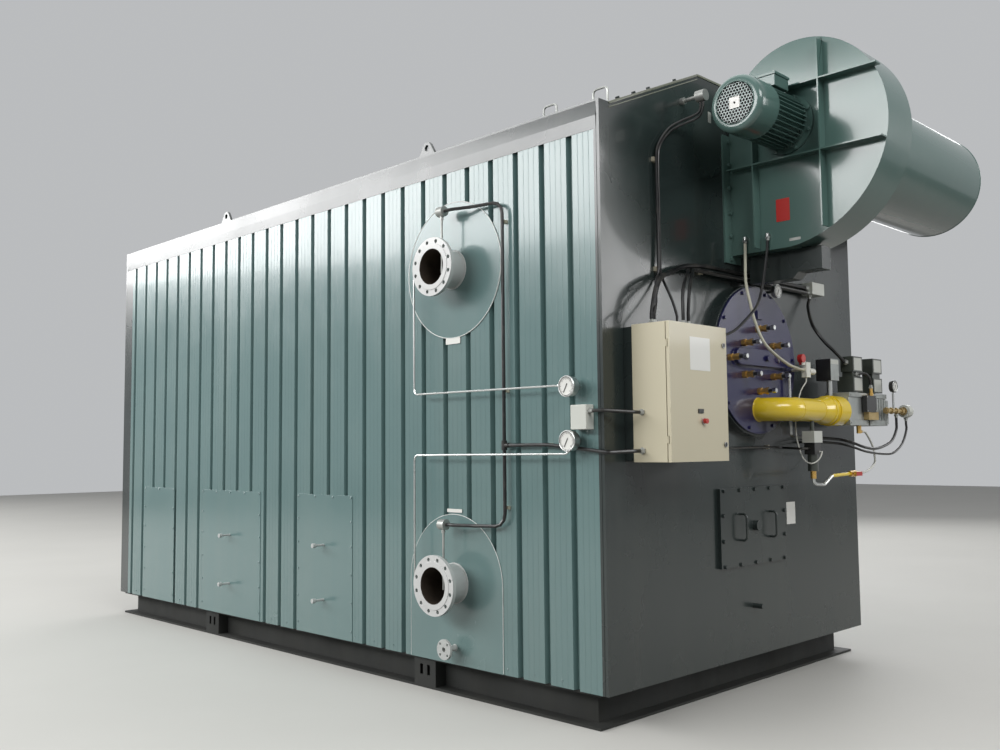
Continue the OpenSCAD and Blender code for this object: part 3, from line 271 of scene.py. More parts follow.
# %% Give the CAD nodes their finishes
FINISHES = {
    "base_frame": base_paint, "cross_beams": base_paint, "bottom_sheet": base_paint,
    "left_cladding": cladding_paint, "right_cladding": cladding_paint,
    "top_fascia": dark_paint, "corner_posts": dark_paint, "front_plate": dark_paint,
    "rear_plate": dark_paint, "roof": dark_paint, "roof_handles": zinc,
    "lifting_lugs": dark_paint, "round_cover": cladding_paint, "arched_cover": cladding_paint,
    "side_covers": cladding_paint, "upper_nozzle": nozzle_paint, "lower_nozzle": nozzle_paint,
    "drain_nozzle": nozzle_paint, "temperature_probes": zinc, "side_conduit": cable_black,
    "cable_clips": clip_metal, "impulse_tubes": steel, "pressure_gauges": steel,
    "junction_boxes": box_paint, "cabinet_frame": dark_paint, "control_cabinet": cabinet_paint,
    "cabinet_door": cabinet_paint, "door_switches": red_paint, "burner_ring": dark_paint,
    "burner_plate": burner_paint, "burner_lances": brass, "gas_pipe": gas_paint,
    "throttle_valve": gas_paint, "gas_valves": cast_alloy, "valve_actuators": black_plastic,
    "gas_switches": cast_alloy, "pilot_valves": cast_alloy, "pilot_line": gas_paint,
    "front_cables": cable_black, "air_hoses": cable_black, "fan_housing": fan_paint,
    "fan_motor": fan_paint, "motor_cowl": fan_paint, "terminal_box": fan_paint,
    "intake_silencer": fan_paint, "fan_foot": dark_paint, "front_hatch": dark_paint,
}
for name, finish in FINISHES.items():
    nodes[name].data.materials.clear()
    nodes[name].data.materials.append(finish)
print("unpainted:", [name for name in nodes if name not in FINISHES])

# %% [markdown]
# ## Small parts, modelled once
# A workshop buys its bolts by the box, so here each kind is modelled once and then repeated.
# Every piece starts as a primitive, is shaped in edit mode, and ends with its place in its mesh.


# %% Helpers for modelling
MM = 0.001


# Places and directions that many pieces share
NOZZLE_Y, UPPER_Z, LOWER_Z, DRAIN_Z = -1.658, 2.450, 0.638, 0.274
GAS_Z = 1.618
SHEET, COVER = -1.358, -1.362
PLATE_FACE, FRONT_FACE = -2.844, -2.775
GAS_Y = PLATE_FACE - 0.150
FAN_Y, FAN_Z = -3.161, 3.228
FRONT, SIDE, RIGHT, UP, DOWN = (0, -1, 0), (-1, 0, 0), (1, 0, 0), (0, 0, 1), (0, 0, -1)


def mm(*place):
    """A place in millimetres as a vector in metres."""
    return Vector(place) * MM


def clear_selection():
    if bpy.context.object and bpy.context.object.mode != "OBJECT":
        bpy.ops.object.mode_set(mode="OBJECT")
    bpy.ops.object.select_all(action="DESELECT")


def only(piece):
    clear_selection()
    piece.select_set(True)
    bpy.context.view_layer.objects.active = piece


def shape_of(piece):
    """Applies a piece's place and modifiers, so that all of it is in its mesh."""
    only(piece)
    bpy.ops.object.convert(target="MESH")
    bpy.ops.object.transform_apply(location=True, rotation=True, scale=True)
    return piece


def done(piece, name, finish, body="plant", slot=None, angle=35):
    """Names, smooths and paints a finished piece, and lets it ride on a body."""
    shape_of(piece)
    if angle:
        bpy.ops.object.shade_smooth_by_angle(angle=math.radians(angle))
    piece.name = piece.data.name = name
    piece.data.materials.clear()
    piece.data.materials.append(finish)
    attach(piece, body)
    return piece


def facing(place, direction=(0, 0, 1), spin=0.0, size=1.0):
    """The matrix that sets a pattern down at a place, its own +Z along a direction."""
    turn = Vector(direction).to_track_quat("Z", "Y").to_matrix().to_4x4()
    return Matrix.Translation(place) @ turn @ Matrix.Rotation(spin, 4, "Z") @ Matrix.Scale(size, 4)


def repeat(patterns, places, name, finish, **how):
    """One piece that holds a copy of a pattern at each place."""
    mesh = bpy.data.meshes.new(name)
    whole = bmesh.new()
    for place in places:
        first = len(whole.verts)
        whole.from_mesh(patterns.data)
        whole.verts.ensure_lookup_table()
        bmesh.ops.transform(whole, matrix=place, verts=whole.verts[first:])
    whole.to_mesh(mesh)
    whole.free()
    piece = bpy.data.objects.new(name, mesh)
    bpy.context.collection.objects.link(piece)
    return done(piece, name, finish, **how)


def pick_faces(piece, wanted):
    """In edit mode with faces selected where a test on their centre and normal holds."""
    only(piece)
    bpy.ops.object.mode_set(mode="EDIT")
    bpy.ops.mesh.select_mode(type="FACE")
    bpy.ops.mesh.select_all(action="DESELECT")
    sheet = bmesh.from_edit_mesh(piece.data)
    for face in sheet.faces:
        face.select_set(wanted(face.calc_center_median(), face.normal))
    bmesh.update_edit_mesh(piece.data)


def top_faces(piece):
    pick_faces(piece, lambda centre, normal: normal.z > 0.9)


def joined(pieces):
    """Joins pieces into the first of them."""
    clear_selection()
    for piece in pieces:
        piece.select_set(True)
    bpy.context.view_layer.objects.active = pieces[0]
    bpy.ops.object.join()
    return pieces[0]


def box(size, place=(0, 0, 0), turn=(0, 0, 0)):
    """A cube stretched to a size, at a place."""
    bpy.ops.mesh.primitive_cube_add(size=1, location=place)
    piece = bpy.context.object
    piece.scale, piece.rotation_euler = size, turn
    return shape_of(piece)


def hoop(place, direction, radius, thick, segments=96, sides=8):
    """A ring of round section around a direction."""
    bpy.ops.mesh.primitive_torus_add(major_radius=radius, minor_radius=thick,
                                     major_segments=segments, minor_segments=sides)
    piece = bpy.context.object
    piece.data.transform(facing(place, direction))
    return piece


def hide_pattern(piece):
    """Patterns aren't part of the boiler: only their copies are."""
    bpy.data.objects.remove(piece)


# %% [markdown]
# ### Hexagon bolts
# A bolt head is a six-sided cylinder on a washer. Its top edge is turned down at the lathe, so
# the top face is inset and the rim beveled.


# %% Model one bolt head
def hex_bolt(name, across=0.019, height=0.008, washer=0.0135, washer_t=0.0018):
    bpy.ops.mesh.primitive_cylinder_add(vertices=24, radius=washer, depth=washer_t, location=(0, 0, washer_t / 2))
    ring = bpy.context.object
    bpy.ops.mesh.primitive_cylinder_add(vertices=6, radius=across / math.sqrt(3), depth=height,
                                        location=(0, 0, washer_t + height / 2))
    head = bpy.context.object
    shape_of(head)
    top_faces(head)
    bpy.ops.mesh.inset(thickness=across * 0.08)
    bpy.ops.transform.translate(value=(0, 0, across * 0.06))
    bpy.ops.object.mode_set(mode="OBJECT")
    shape_of(ring)
    joined([head, ring])
    head.name = name
    return head


bolt = hex_bolt("bolt pattern")
print("faces in one bolt:", len(bolt.data.polygons))

# %% [markdown]
# ## Fine ribs in the side sheets
# Between two deep grooves the sheet carries three shallow stiffening ribs, about a
# millimetre high. One rib is a long bar with its outer edges drawn in; 162 copies stand on both
# sides, and the covers, which are thicker, hide them where they lie on the sheet.

# %% Fine ribs
HALF_WIDTH, FRONT_EDGE, SHEET_FOOT, SHEET_TOP = 1.358, -2.755, 0.180, 3.037
GROOVE_FIRST, GROOVE_PITCH, GROOVE_HALF = 0.186, 0.1968, 0.021
RIB_HEIGHT, RIB_WIDTH = 0.0012, 0.006

sheet_height = SHEET_TOP - SHEET_FOOT
rib = box((RIB_HEIGHT, RIB_WIDTH, sheet_height), (0, 0, sheet_height / 2))
pick_faces(rib, lambda centre, normal: normal.x < -0.9)
bpy.ops.transform.resize(value=(1, 0.4, 1))
bpy.ops.object.mode_set(mode="OBJECT")

rib_places = []
edges = [0.016] + [GROOVE_FIRST + k * GROOVE_PITCH for k in range(27)]
for left, right in zip(edges, edges[1:]):
    inner = left + (GROOVE_HALF if left > 0.1 else 0)
    flat = right - GROOVE_HALF - inner
    for share in (0.25, 0.5, 0.75):
        along = FRONT_EDGE + inner + flat * share
        rib_places.append(Matrix.Translation((-HALF_WIDTH - RIB_HEIGHT / 2, along, SHEET_FOOT)))
        rib_places.append(Matrix.Translation((HALF_WIDTH + RIB_HEIGHT / 2, along, SHEET_FOOT))
                          @ Matrix.Rotation(math.pi, 4, "Z"))
repeat(rib, rib_places, "fine_ribs", cladding_paint, slot="cladding_paint")
hide_pattern(rib)
print("fine ribs:", len(rib_places))

# %% [markdown]
# ## Breaking sharp edges
# A drawing's edge is perfectly sharp and never catches the light. On the real boiler each edge
# is rounded a little by the saw, the press brake or the paint. So the boxes and castings are
# copied, their loose triangles are merged back to whole faces, and every corner gets a small
# bevel. The copy stands for its CAD solid at the same place.

# %% Copy a CAD solid with broken edges
SLOTS = {part["node"]: part["material_slot"] for part in frame["record"]["subparts"]}


def islands_of(mesh):
    """For each face, the lowest and highest corner of the loose part that it belongs to."""
    shape = bmesh.new()
    shape.from_mesh(mesh)
    boxes, seen = {}, set()
    for start in shape.faces:
        if start.index in seen:
            continue
        group, queue = [], [start]
        seen.add(start.index)
        while queue:
            face = queue.pop()
            group.append(face)
            for edge in face.edges:
                for other in edge.link_faces:
                    if other.index not in seen:
                        seen.add(other.index)
                        queue.append(other)
        corners = [vert.co for face in group for vert in face.verts]
        box = (Vector(min(c[i] for c in corners) for i in range(3)),
               Vector(max(c[i] for c in corners) for i in range(3)))
        for face in group:
            boxes[face.index] = box
    shape.free()
    return boxes


def second_finish(piece, finish):
    if finish.name not in piece.data.materials:
        piece.data.materials.append(finish)
    return piece.data.materials.find(finish.name)


SHARP = math.radians(32)


def dress(node, bevel=0.0015, finish=None, faces=(), islands=(), moves=(), body="plant"):
    """A copy of a CAD solid with whole faces and broken edges, painted by place."""
    piece = bpy.data.objects.new(node + "_dressed", nodes[node].data.copy())
    bpy.context.collection.objects.link(piece)
    only(piece)
    bpy.ops.object.mode_set(mode="EDIT")
    bpy.ops.mesh.select_all(action="SELECT")
    bpy.ops.mesh.customdata_custom_splitnormals_clear()
    bpy.ops.mesh.remove_doubles(threshold=0.00002)
    bpy.ops.mesh.dissolve_limited(angle_limit=math.radians(0.7))
    for test, step in moves:
        pick_faces(piece, test)
        bpy.ops.transform.translate(value=step)
    bpy.ops.object.mode_set(mode="OBJECT")
    if bevel:
        bpy.ops.object.shade_smooth_by_angle(angle=SHARP)
        edges = piece.modifiers.new("edges", "BEVEL")
        edges.width, edges.segments = bevel, 2
        edges.limit_method, edges.angle_limit = "ANGLE", SHARP
        edges.harden_normals = True
    done(piece, node + "_dressed", finish or FINISHES[node], body=body, slot=SLOTS[node],
         angle=0 if bevel else 35)
    boxes = islands_of(piece.data) if islands else {}
    for test, paint in islands:
        index = second_finish(piece, paint)
        for face in piece.data.polygons:
            if test(*boxes[face.index]):
                face.material_index = index
    for test, paint in faces:
        index = second_finish(piece, paint)
        for face in piece.data.polygons:
            if test(face.center, face.normal):
                face.material_index = index
    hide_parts(node)
    return piece


# %% [markdown]
# The plain steel parts first: plates, boxes and castings whose CAD shape is right.

# %% Dress the plain parts
for name, width in (("burner_ring", 0.002), ("burner_plate", 0.003), ("front_hatch", 0.002),
                    ("terminal_box", 0.002), ("gas_valves", 0.004), ("cabinet_frame", 0.002),
                    ("control_cabinet", 0.002), ("throttle_valve", 0.004), ("drain_nozzle", 0.0015),
                    ("lifting_lugs", 0.002), ("fan_foot", 0.002)):
    dress(name, width)
dress("cabinet_door", 0.003, body="door")
dress("junction_boxes", 0.004)
dress("side_covers", 0.001, faces=((lambda c, n: c.x < -1.3625, nozzle_paint),))
# The bore faces take the dark bore metal: bare steel, darkened as painted shade for the pipe's depth.
for name, z in (("upper_nozzle", UPPER_Z), ("lower_nozzle", LOWER_Z)):
    dress(name, 0.002, faces=(
        (lambda c, n, z=z: math.hypot(c.y - NOZZLE_Y, c.z - z) < 0.1045, bore_metal_and_shade),
        (lambda c, n: n.x < -0.9 and c.x < -1.52, flange_paint)))
dress("fan_housing", 0.0025, moves=(
    (lambda centre, normal: normal.x < -0.9 and centre.x < -0.175, (-0.034, 0, 0)),
    (lambda centre, normal: normal.z > 0.9 and centre.x < -0.16 and centre.z > 3.64, (0, 0, -0.028))))

# %% [markdown]
# ## Parts of several finishes
# A gas train is bought as ready parts, and each part mixes materials: a black coil on a brass
# block, a red lever on a brass cock. Each loose part or face is picked by its place.

# %% Burner lances, switches, gas train and hoses
dress("burner_lances", 0.0012, faces=(
    (lambda centre, normal: centre.y < PLATE_FACE - 0.073, black_plastic),
    (lambda centre, normal: centre.y < PLATE_FACE - 0.095, steel)))
dress("door_switches", 0.001, body="door", faces=(
    (lambda centre, normal: centre.z > 1.56 and centre.x < -0.9, black_plastic),
    (lambda centre, normal: centre.x > -0.8, black_plastic)))
dress("gas_switches", 0.0015, finish=steel, faces=(
    (lambda c, n: 0.850 < c.x < 0.996 and c.z > 1.611 and c.y < -3.076, black_plastic),
    (lambda c, n: 0.885 < c.x < 1.035 and 1.562 < c.z < 1.6125, dull_brass),
    (lambda c, n: 0.930 < c.x < 0.970 and c.z > 1.7165, brass),
    (lambda c, n: c.z < 1.529 and c.x < 1.0, brass),
    (lambda c, n: c.y < -3.090 and 1.077 < c.x < 1.357 and abs(c.z - 1.626) < 0.03, dull_brass),
    (lambda c, n: c.x > 1.360 and c.z < 1.68, box_paint),
    (lambda c, n: c.z > 1.735 and c.x > 1.1, black_plastic)))
dress("valve_actuators", 0.004, finish=actuator_paint, faces=(
    (lambda c, n: c.x < 0.70 and c.z > 1.805, black_plastic),
    (lambda c, n: c.x < 0.70 and n.y < -0.9 and c.z > 1.805, cast_alloy),
    (lambda c, n: c.x < 0.70 and c.z < 1.8085, steel)))
dress("pilot_valves", 0.002, finish=actuator_paint, faces=(
    (lambda c, n: 1.4225 < c.z < 1.492, box_paint),
    (lambda c, n: 1.349 < c.z <= 1.4225, black_plastic),
    (lambda c, n: c.z < 1.252, brass)))
dress("pilot_line", bevel=0.0, finish=brass, faces=(
    (lambda c, n: c.x < 0.55, steel),
    (lambda c, n: 0.55 < c.x < 0.714, gas_paint),
    (lambda c, n: c.y < -3.083, red_paint),
    (lambda c, n: c.x > 0.83, hose_white)))
dress("air_hoses", bevel=0.0, islands=(
    (lambda low, high: low.z > 1.84 and high.z > 2.5 and high.x > 0.3, hose_pale),
    (lambda low, high: high.z < 1.97 and low.z < 1.5, hose_white)), faces=(
    (lambda c, n: 0.27 < c.x < 0.357 and 1.905 < c.z < 1.97 and c.y < -2.93, red_paint),
    (lambda c, n: 0.43 < c.x < 0.50 and 1.82 < c.z < 1.90 and c.y < -2.86, hose_white)))
dress("pressure_gauges", 0.0012, finish=steel)
dress("temperature_probes", 0.003, finish=zinc)

# %% [markdown]
# ## Bolts on the front
# Screws hold every plate on the front, and their small shadows tell the eye how large the
# boiler is. The bolt pattern is set down at each place, its own +Z along the plate's normal.

# %% Bolt heads on the front
SLOPE_FOOT, SLOPE_TOP = mm(1278, 0, 3192), mm(458, 0, 3554)


def front(x, z, proud=0.0, spin=0.0, size=1.0):
    """A place on the front plate. Heads are spun by any number, so that they stand unevenly."""
    return facing((x, FRONT_FACE - proud, z), FRONT, spin, size)


front_bolts = []
for turn in range(10):
    angle = math.radians(3 + 36 * turn)
    front_bolts.append(facing((0.415 * math.cos(angle), PLATE_FACE, 1.912 + 0.415 * math.sin(angle)), FRONT, angle))
for x in (-0.328, -0.164, 0, 0.164, 0.328):
    front_bolts += [front(x, z, 0.022, x) for z in (1.150, 0.722)]
for z in (1.010, 0.865):
    front_bolts += [front(x, z, 0.022, z) for x in (-0.338, 0.338)]
for z in (3.211, 3.070, 2.931, 2.780, 2.643, 2.506):
    front_bolts += [front(x, z, 0.012, z * 3, 1.15) for x in (-0.171, 0.171)]
gable_bolts = []
for side in (-1, 1):
    for along in (0.13, 0.30, 0.46, 0.76):
        place = SLOPE_FOOT.lerp(SLOPE_TOP, along)
        gable_bolts.append(facing((side * place.x, FRONT_FACE + 0.022, place.z),
                                  (side * 0.404, 0, 0.915), along, 1.1))
repeat(bolt, front_bolts[:10], "burner_bolts", burner_paint, slot="burner_paint")
repeat(bolt, front_bolts[10:24], "hatch_bolts", dark_paint, slot="dark_paint")
repeat(bolt, front_bolts[24:], "fan_flange_bolts", fan_paint, slot="fan_paint")
repeat(bolt, gable_bolts, "gable_bolts", dark_paint, slot="dark_paint")
print("bolts on the front:", len(front_bolts) + len(gable_bolts))

# %% [markdown]
# ## Edge flanges of the gable
# The roof sheet is folded down over the front plate, and that fold reads as a thin double line
# along the slope. A long bar is turned to the slope and its outer edges are beveled.

# %% Folded edges on the gable
slope = SLOPE_TOP - SLOPE_FOOT
slope_angle = math.atan2(slope.z, -slope.x)
folds = []
for side in (-1, 1):
    for drop, height in ((0.0065, 0.013), (0.030, 0.006)):
        middle = SLOPE_FOOT.lerp(SLOPE_TOP, 0.5)
        folds.append(box((slope.length * 0.995, 0.004, height),
                         (side * middle.x, FRONT_FACE - 0.002, middle.z - drop), (0, side * slope_angle, 0)))
folds.append(box((0.916, 0.004, 0.013), (0, FRONT_FACE - 0.002, 3.5475)))
joined(folds)
bpy.ops.object.mode_set(mode="EDIT")
bpy.ops.mesh.select_all(action="SELECT")
bpy.ops.mesh.bevel(offset=0.001, segments=2, affect="EDGES")
bpy.ops.object.mode_set(mode="OBJECT")
# The fold bars are painted a pale olive, lighter than the dark roof sheet they belong to: a painted highlight along
# the fold.
done(folds[0], "gable_folds", fold_highlight_paint, slot="dark_paint")

# %% [markdown]
# ## Side sheets: fasteners and bare plates
# Small pan-head screws hold the covers, and two bare marker plates hang under the nozzles.

# %% Pan-head screws
bpy.ops.mesh.primitive_cylinder_add(vertices=16, radius=0.007, depth=0.003, location=(0, 0, 0.0015))
screw = bpy.context.object
shape_of(screw)
top_faces(screw)
bpy.ops.mesh.inset(thickness=0.0025)
bpy.ops.transform.translate(value=(0, 0, 0.0012))
bpy.ops.mesh.inset(thickness=0.0018)
bpy.ops.transform.translate(value=(0, 0, -0.0014))
bpy.ops.object.mode_set(mode="OBJECT")

screws = []
for first, last in ((2.080, 2.714), (3.195, 4.053), (4.523, 5.061)):
    y0, y1 = FRONT_EDGE + first + 0.014, FRONT_EDGE + last - 0.014
    steps = round((y1 - y0) / 0.21)
    for k in range(steps + 1):
        screws.append(facing((COVER, y0 + (y1 - y0) * k / steps, 1.094), SIDE))
    for z in (0.24, 0.42, 0.60, 0.78, 0.94):
        screws += [facing((COVER, y, z), SIDE) for y in (y0, y1)]
for k in range(27):
    y = FRONT_EDGE + GROOVE_FIRST + GROOVE_PITCH * k + 0.098
    if y < 2.58 and not -2.07 < y < -1.25:
        screws.append(facing((SHEET, y, 0.215), SIDE, 0, 0.8))
        screws.append(facing((-SHEET, y, 0.215), RIGHT, 0, 0.8))
repeat(screw, screws, "sheet_screws", cladding_paint, slot="cladding_paint", angle=50)
print("sheet screws:", len(screws))

# %% Bare marker plates, each with its corners rounded
plates = []


def bare_plate(x, y, z, size, finish, name, body="plant", radius=0.004):
    """A thin plate whose thickness is along the shortest side of its size."""
    plate = box(size, (x, y, z))
    thin = min(range(3), key=lambda k: size[k])
    only(plate)
    bpy.ops.object.mode_set(mode="EDIT")
    bpy.ops.mesh.select_mode(type="EDGE")
    bpy.ops.mesh.select_all(action="DESELECT")
    sheet = bmesh.from_edit_mesh(plate.data)
    for edge in sheet.edges:
        along = (edge.verts[0].co - edge.verts[1].co).normalized()
        edge.select_set(abs(along[thin]) > 0.9)
    bmesh.update_edit_mesh(plate.data)
    bpy.ops.mesh.bevel(offset=radius, segments=3, affect="EDGES")
    bpy.ops.object.mode_set(mode="OBJECT")
    done(plate, name, finish, body=body)
    plates.append(plate)
    return plate


# A thin strip runs around the round and the arched cover. Its pale colour is a painted highlight along the covers'
# rim.
edging_x = COVER + 0.001
done(hoop((edging_x, NOZZLE_Y, UPPER_Z), SIDE, 0.4012, 0.0032), "round_cover_rim_highlight", rim_highlight_paint, angle=60)
ARCH_RADIUS, ARCH_THICK = 0.3902, 0.0021
arch = hoop((edging_x, NOZZLE_Y, LOWER_Z), SIDE, ARCH_RADIUS, ARCH_THICK)
pick_faces(arch, lambda centre, normal: centre.z < LOWER_Z)
bpy.ops.mesh.delete(type="FACE")
bpy.ops.object.mode_set(mode="OBJECT")
shape_of(arch)
legs = [arch]
for side in (-1, 1):
    bpy.ops.mesh.primitive_cylinder_add(vertices=8, radius=ARCH_THICK, depth=0.455,
                                        location=(edging_x, NOZZLE_Y + side * ARCH_RADIUS, 0.4105))
    legs.append(shape_of(bpy.context.object))
joined(legs)
done(arch, "arched_cover_rim_highlight", rim_highlight_paint, angle=60)

bare_plate(SHEET - 0.0046, -1.657, 2.032, (0.001, 0.124, 0.036), white_paint, "upper_marker_plate")
bare_plate(SHEET - 0.0046, -1.662, 1.049, (0.001, 0.127, 0.020), white_paint, "lower_marker_plate")
bare_plate(0.457, FRONT_FACE - 0.001, 0.986, (0.105, 0.002, 0.136), white_paint, "hatch_plate")
bare_plate(-0.151, -3.124, 2.744, (0.002, 0.084, 0.130), red_paint, "fan_plate")
bare_plate(-0.1505, -3.193, 2.566, (0.001, 0.070, 0.016), zinc, "fan_strip")
print("bare plates:", len(plates))

# %% [markdown]
# ## Dials
# A gauge is read from its white face: a rim of ticks and a black needle. The face is a flat
# disc inset into steps, the ticks are one small bar repeated on a circle, and a dark seal and a
# thin ring of polished steel close its edge.

# %% Gauge faces
tick = box((0.14, 0.025, 0.0006), (0, 0, 0.0003))
NEEDLE = math.radians(62)


def dial(name, place, direction, radius):
    """A white face with ticks and a needle, and a seal and a steel ring around it."""
    to_place = facing(place, direction)
    bpy.ops.mesh.primitive_cylinder_add(vertices=48, radius=radius, depth=0.0008, location=(0, 0, 0.0004))
    face = bpy.context.object
    shape_of(face)
    top_faces(face)
    bpy.ops.mesh.inset(thickness=radius * 0.04)
    bpy.ops.transform.translate(value=(0, 0, -0.0003))
    bpy.ops.object.mode_set(mode="OBJECT")
    face.data.transform(to_place)
    done(face, name + "_face", white_paint)
    marks = []
    for k in range(31):
        angle = math.radians(225 - k * 9)
        longer = 1.5 if k % 5 == 0 else 1.0
        reach = radius * (0.90 - 0.07 * longer)
        marks.append(to_place @ Matrix.Translation((reach * math.cos(angle), reach * math.sin(angle), 0.0008))
                     @ Matrix.Rotation(angle, 4, "Z") @ Matrix.Diagonal((radius * longer, radius * longer, 1, 1)))
    set_back = radius * -0.20
    marks.append(to_place @ Matrix.Translation((set_back * math.cos(NEEDLE), set_back * math.sin(NEEDLE), 0.0016))
                 @ Matrix.Rotation(NEEDLE, 4, "Z") @ Matrix.Diagonal((radius * 7.5, radius * 4.0, 1, 1)))
    repeat(tick, marks, name + "_ticks", black_plastic)
    done(hoop(place, direction, radius * 1.03, radius * 0.055, 48), name + "_ring", steel)
    done(hoop(place, direction, radius * 0.955, radius * 0.035, 48, 6), name + "_seal", black_plastic)


sheet_gauge_x = SHEET - 0.046 - 0.044
dial("high_gauge", (sheet_gauge_x - 0.0002, -2.605, 1.715), SIDE, 0.049)
dial("low_gauge", (sheet_gauge_x - 0.0002, -2.605, 1.438), SIDE, 0.049)
dial("air_gauge", (0.210, FRONT_FACE - 0.070 - 0.0302, 2.345), FRONT, 0.037)
dial("gas_gauge", (1.208, GAS_Y - 0.130 + 0.012 - 0.0282, 1.786), FRONT, 0.035)
hide_pattern(tick)

# %% [markdown]
# ## Weld beads and pipe ends
# Where a pipe meets its cover or flange, a welded bead runs around it. Few sides are enough,
# but its ripples have to show, so every second ring of the torus is pushed out a little.


# %% Weld beads
def weld_bead(name, place, direction, radius, thick, finish, slot, ripples=72):
    bpy.ops.mesh.primitive_torus_add(major_radius=radius, minor_radius=thick, major_segments=ripples, minor_segments=8)
    bead = bpy.context.object
    only(bead)
    bpy.ops.object.mode_set(mode="EDIT")
    bpy.ops.mesh.select_all(action="DESELECT")
    ring = bmesh.from_edit_mesh(bead.data)
    for vert in ring.verts:
        turn = math.degrees(math.atan2(vert.co.y, vert.co.x)) * ripples / 360
        vert.select_set(round(turn) % 2 == 0)
    bmesh.update_edit_mesh(bead.data)
    bpy.ops.transform.shrink_fatten(value=thick * 0.22)
    bpy.ops.object.mode_set(mode="OBJECT")
    bead.data.transform(facing(place, direction))
    return done(bead, name, finish, slot=slot, angle=60)


for part, x, thick in (("neck", COVER - 0.001, 0.005), ("flange", SHEET - 0.107, 0.0035)):
    for level, z in (("upper", UPPER_Z), ("lower", LOWER_Z)):
        weld_bead(level + "_" + part + "_weld", (x, NOZZLE_Y, z), SIDE, 0.1105, thick, nozzle_paint, "nozzle_paint")
weld_bead("drain_weld", (COVER - 0.001, NOZZLE_Y, DRAIN_Z), SIDE, 0.0175, 0.003, nozzle_paint, "nozzle_paint", 32)
GAS_PIPE_RADIUS = 0.0700
for name, place, direction, thick in (("gas_port_weld", (0, PLATE_FACE - 0.001, GAS_Z), FRONT, 0.003),
                                      ("gas_pipe_weld", (0.410, GAS_Y, GAS_Z), RIGHT, 0.0028),
                                      ("gas_elbow_weld", (0.150, GAS_Y, GAS_Z), RIGHT, 0.0022)):
    weld_bead(name, place, direction, GAS_PIPE_RADIUS, thick, gas_paint, "gas_paint", 60)

# %% [markdown]
# ## Motor
# The cowl is a deep drawn cap with a perforated end. A square name plate sits in its middle,
# left blank, and a lifting eye stands on the frame.

# %% Perforated end, plate, lifting eye and flange bolts
motor_end = -0.150 - 0.540
PITCH = 0.0185
bpy.ops.mesh.primitive_circle_add(vertices=12, radius=PITCH / math.sqrt(3), fill_type="NGON")
cell = bpy.context.object
shape_of(cell)
pick_faces(cell, lambda centre, normal: True)
bpy.ops.mesh.inset(thickness=PITCH * 0.17)
pick_faces(cell, lambda centre, normal: centre.length < 0.0005)
bpy.ops.mesh.delete(type="FACE")
bpy.ops.mesh.select_mode(type="VERT")
web = bmesh.from_edit_mesh(cell.data)
for vert in web.verts:
    turn = round(math.degrees(math.atan2(vert.co.y, vert.co.x)))
    vert.select_set(vert.co.length > PITCH * 0.5 and turn % 60 in (0, 59, 1))
bmesh.update_edit_mesh(cell.data)
bpy.ops.transform.resize(value=(0.866, 0.866, 1), center_override=(0, 0, 0))
bpy.ops.mesh.select_all(action="SELECT")
bpy.ops.mesh.extrude_region_move(TRANSFORM_OT_translate={"value": (0, 0, 0.0012)})
bpy.ops.object.mode_set(mode="OBJECT")
cells = []
for row in range(-9, 10):
    for column in range(-9, 10):
        y, z = PITCH * (column + 0.5 * (row % 2)), PITCH * 0.866 * row
        if math.hypot(y, z) < 0.108:
            cells.append(facing((motor_end - 0.0012, FAN_Y + y, FAN_Z + z), SIDE))
repeat(cell, cells, "cowl_grille", fan_paint, slot="fan_paint")
hide_pattern(cell)
# A matt black disc behind the perforated end is painted shade: it stands for the dark inside of the cowl, seen through
# the holes.
bpy.ops.mesh.primitive_cylinder_add(vertices=64, radius=0.114, depth=0.0006, location=(0, 0, 0))
shade_disc = bpy.context.object
shade_disc.data.transform(facing((motor_end - 0.0008, FAN_Y, FAN_Z), SIDE))
done(shade_disc, "cowl_painted_shade", matt_black_and_painted_shade)
done(hoop((motor_end - 0.0008, FAN_Y, FAN_Z), SIDE, 0.1155, 0.0028, 64), "cowl_ring", fan_paint, slot="fan_paint")
bare_plate(motor_end - 0.0035, FAN_Y, FAN_Z, (0.002, 0.062, 0.062), white_paint, "cowl_plate", radius=0.003)
repeat(screw, [facing((motor_end - 0.0045, FAN_Y, FAN_Z), SIDE, 0, 0.8)], "cowl_screw", matt_black_and_painted_shade)
bpy.ops.mesh.primitive_torus_add(major_radius=0.021, minor_radius=0.006, major_segments=32, minor_segments=10,
                                 location=(motor_end + 0.215, FAN_Y, FAN_Z + 0.171), rotation=(math.pi / 2, 0, 0))
eye = bpy.context.object
bpy.ops.mesh.primitive_cylinder_add(vertices=24, radius=0.016, depth=0.020,
                                    location=(motor_end + 0.215, FAN_Y, FAN_Z + 0.145))
collar = bpy.context.object
shape_of(collar)
top_faces(collar)
bpy.ops.mesh.inset(thickness=0.005)
bpy.ops.transform.translate(value=(0, 0, 0.004))
bpy.ops.object.mode_set(mode="OBJECT")
shape_of(eye)
joined([eye, collar])
done(eye, "motor_eye", fan_paint, slot="fan_paint")
motor_bolts = []
for k in range(8):
    angle = math.radians(22.5 + 45 * k)
    motor_bolts.append(facing((-0.166, FAN_Y + 0.158 * math.cos(angle), FAN_Z + 0.158 * math.sin(angle)),
                              SIDE, angle))
repeat(bolt, motor_bolts, "motor_bolts", fan_paint, slot="fan_paint")
cover_screws = [facing((-0.400 + dx, FAN_Y + dy, FAN_Z + 0.157 - 0.0037 + 0.078), UP)
                for dx in (0.006, 0.144) for dy in (-0.069, 0.069)]
repeat(screw, cover_screws, "terminal_screws", zinc, angle=50)
dress("fan_motor", 0.0008)
dress("motor_cowl", 0.0)

# %% [markdown]
# ## Intake silencer
# A silencer is a rolled drum. A swaged bead near each end keeps it round, and bolts hold it to
# the fan housing.

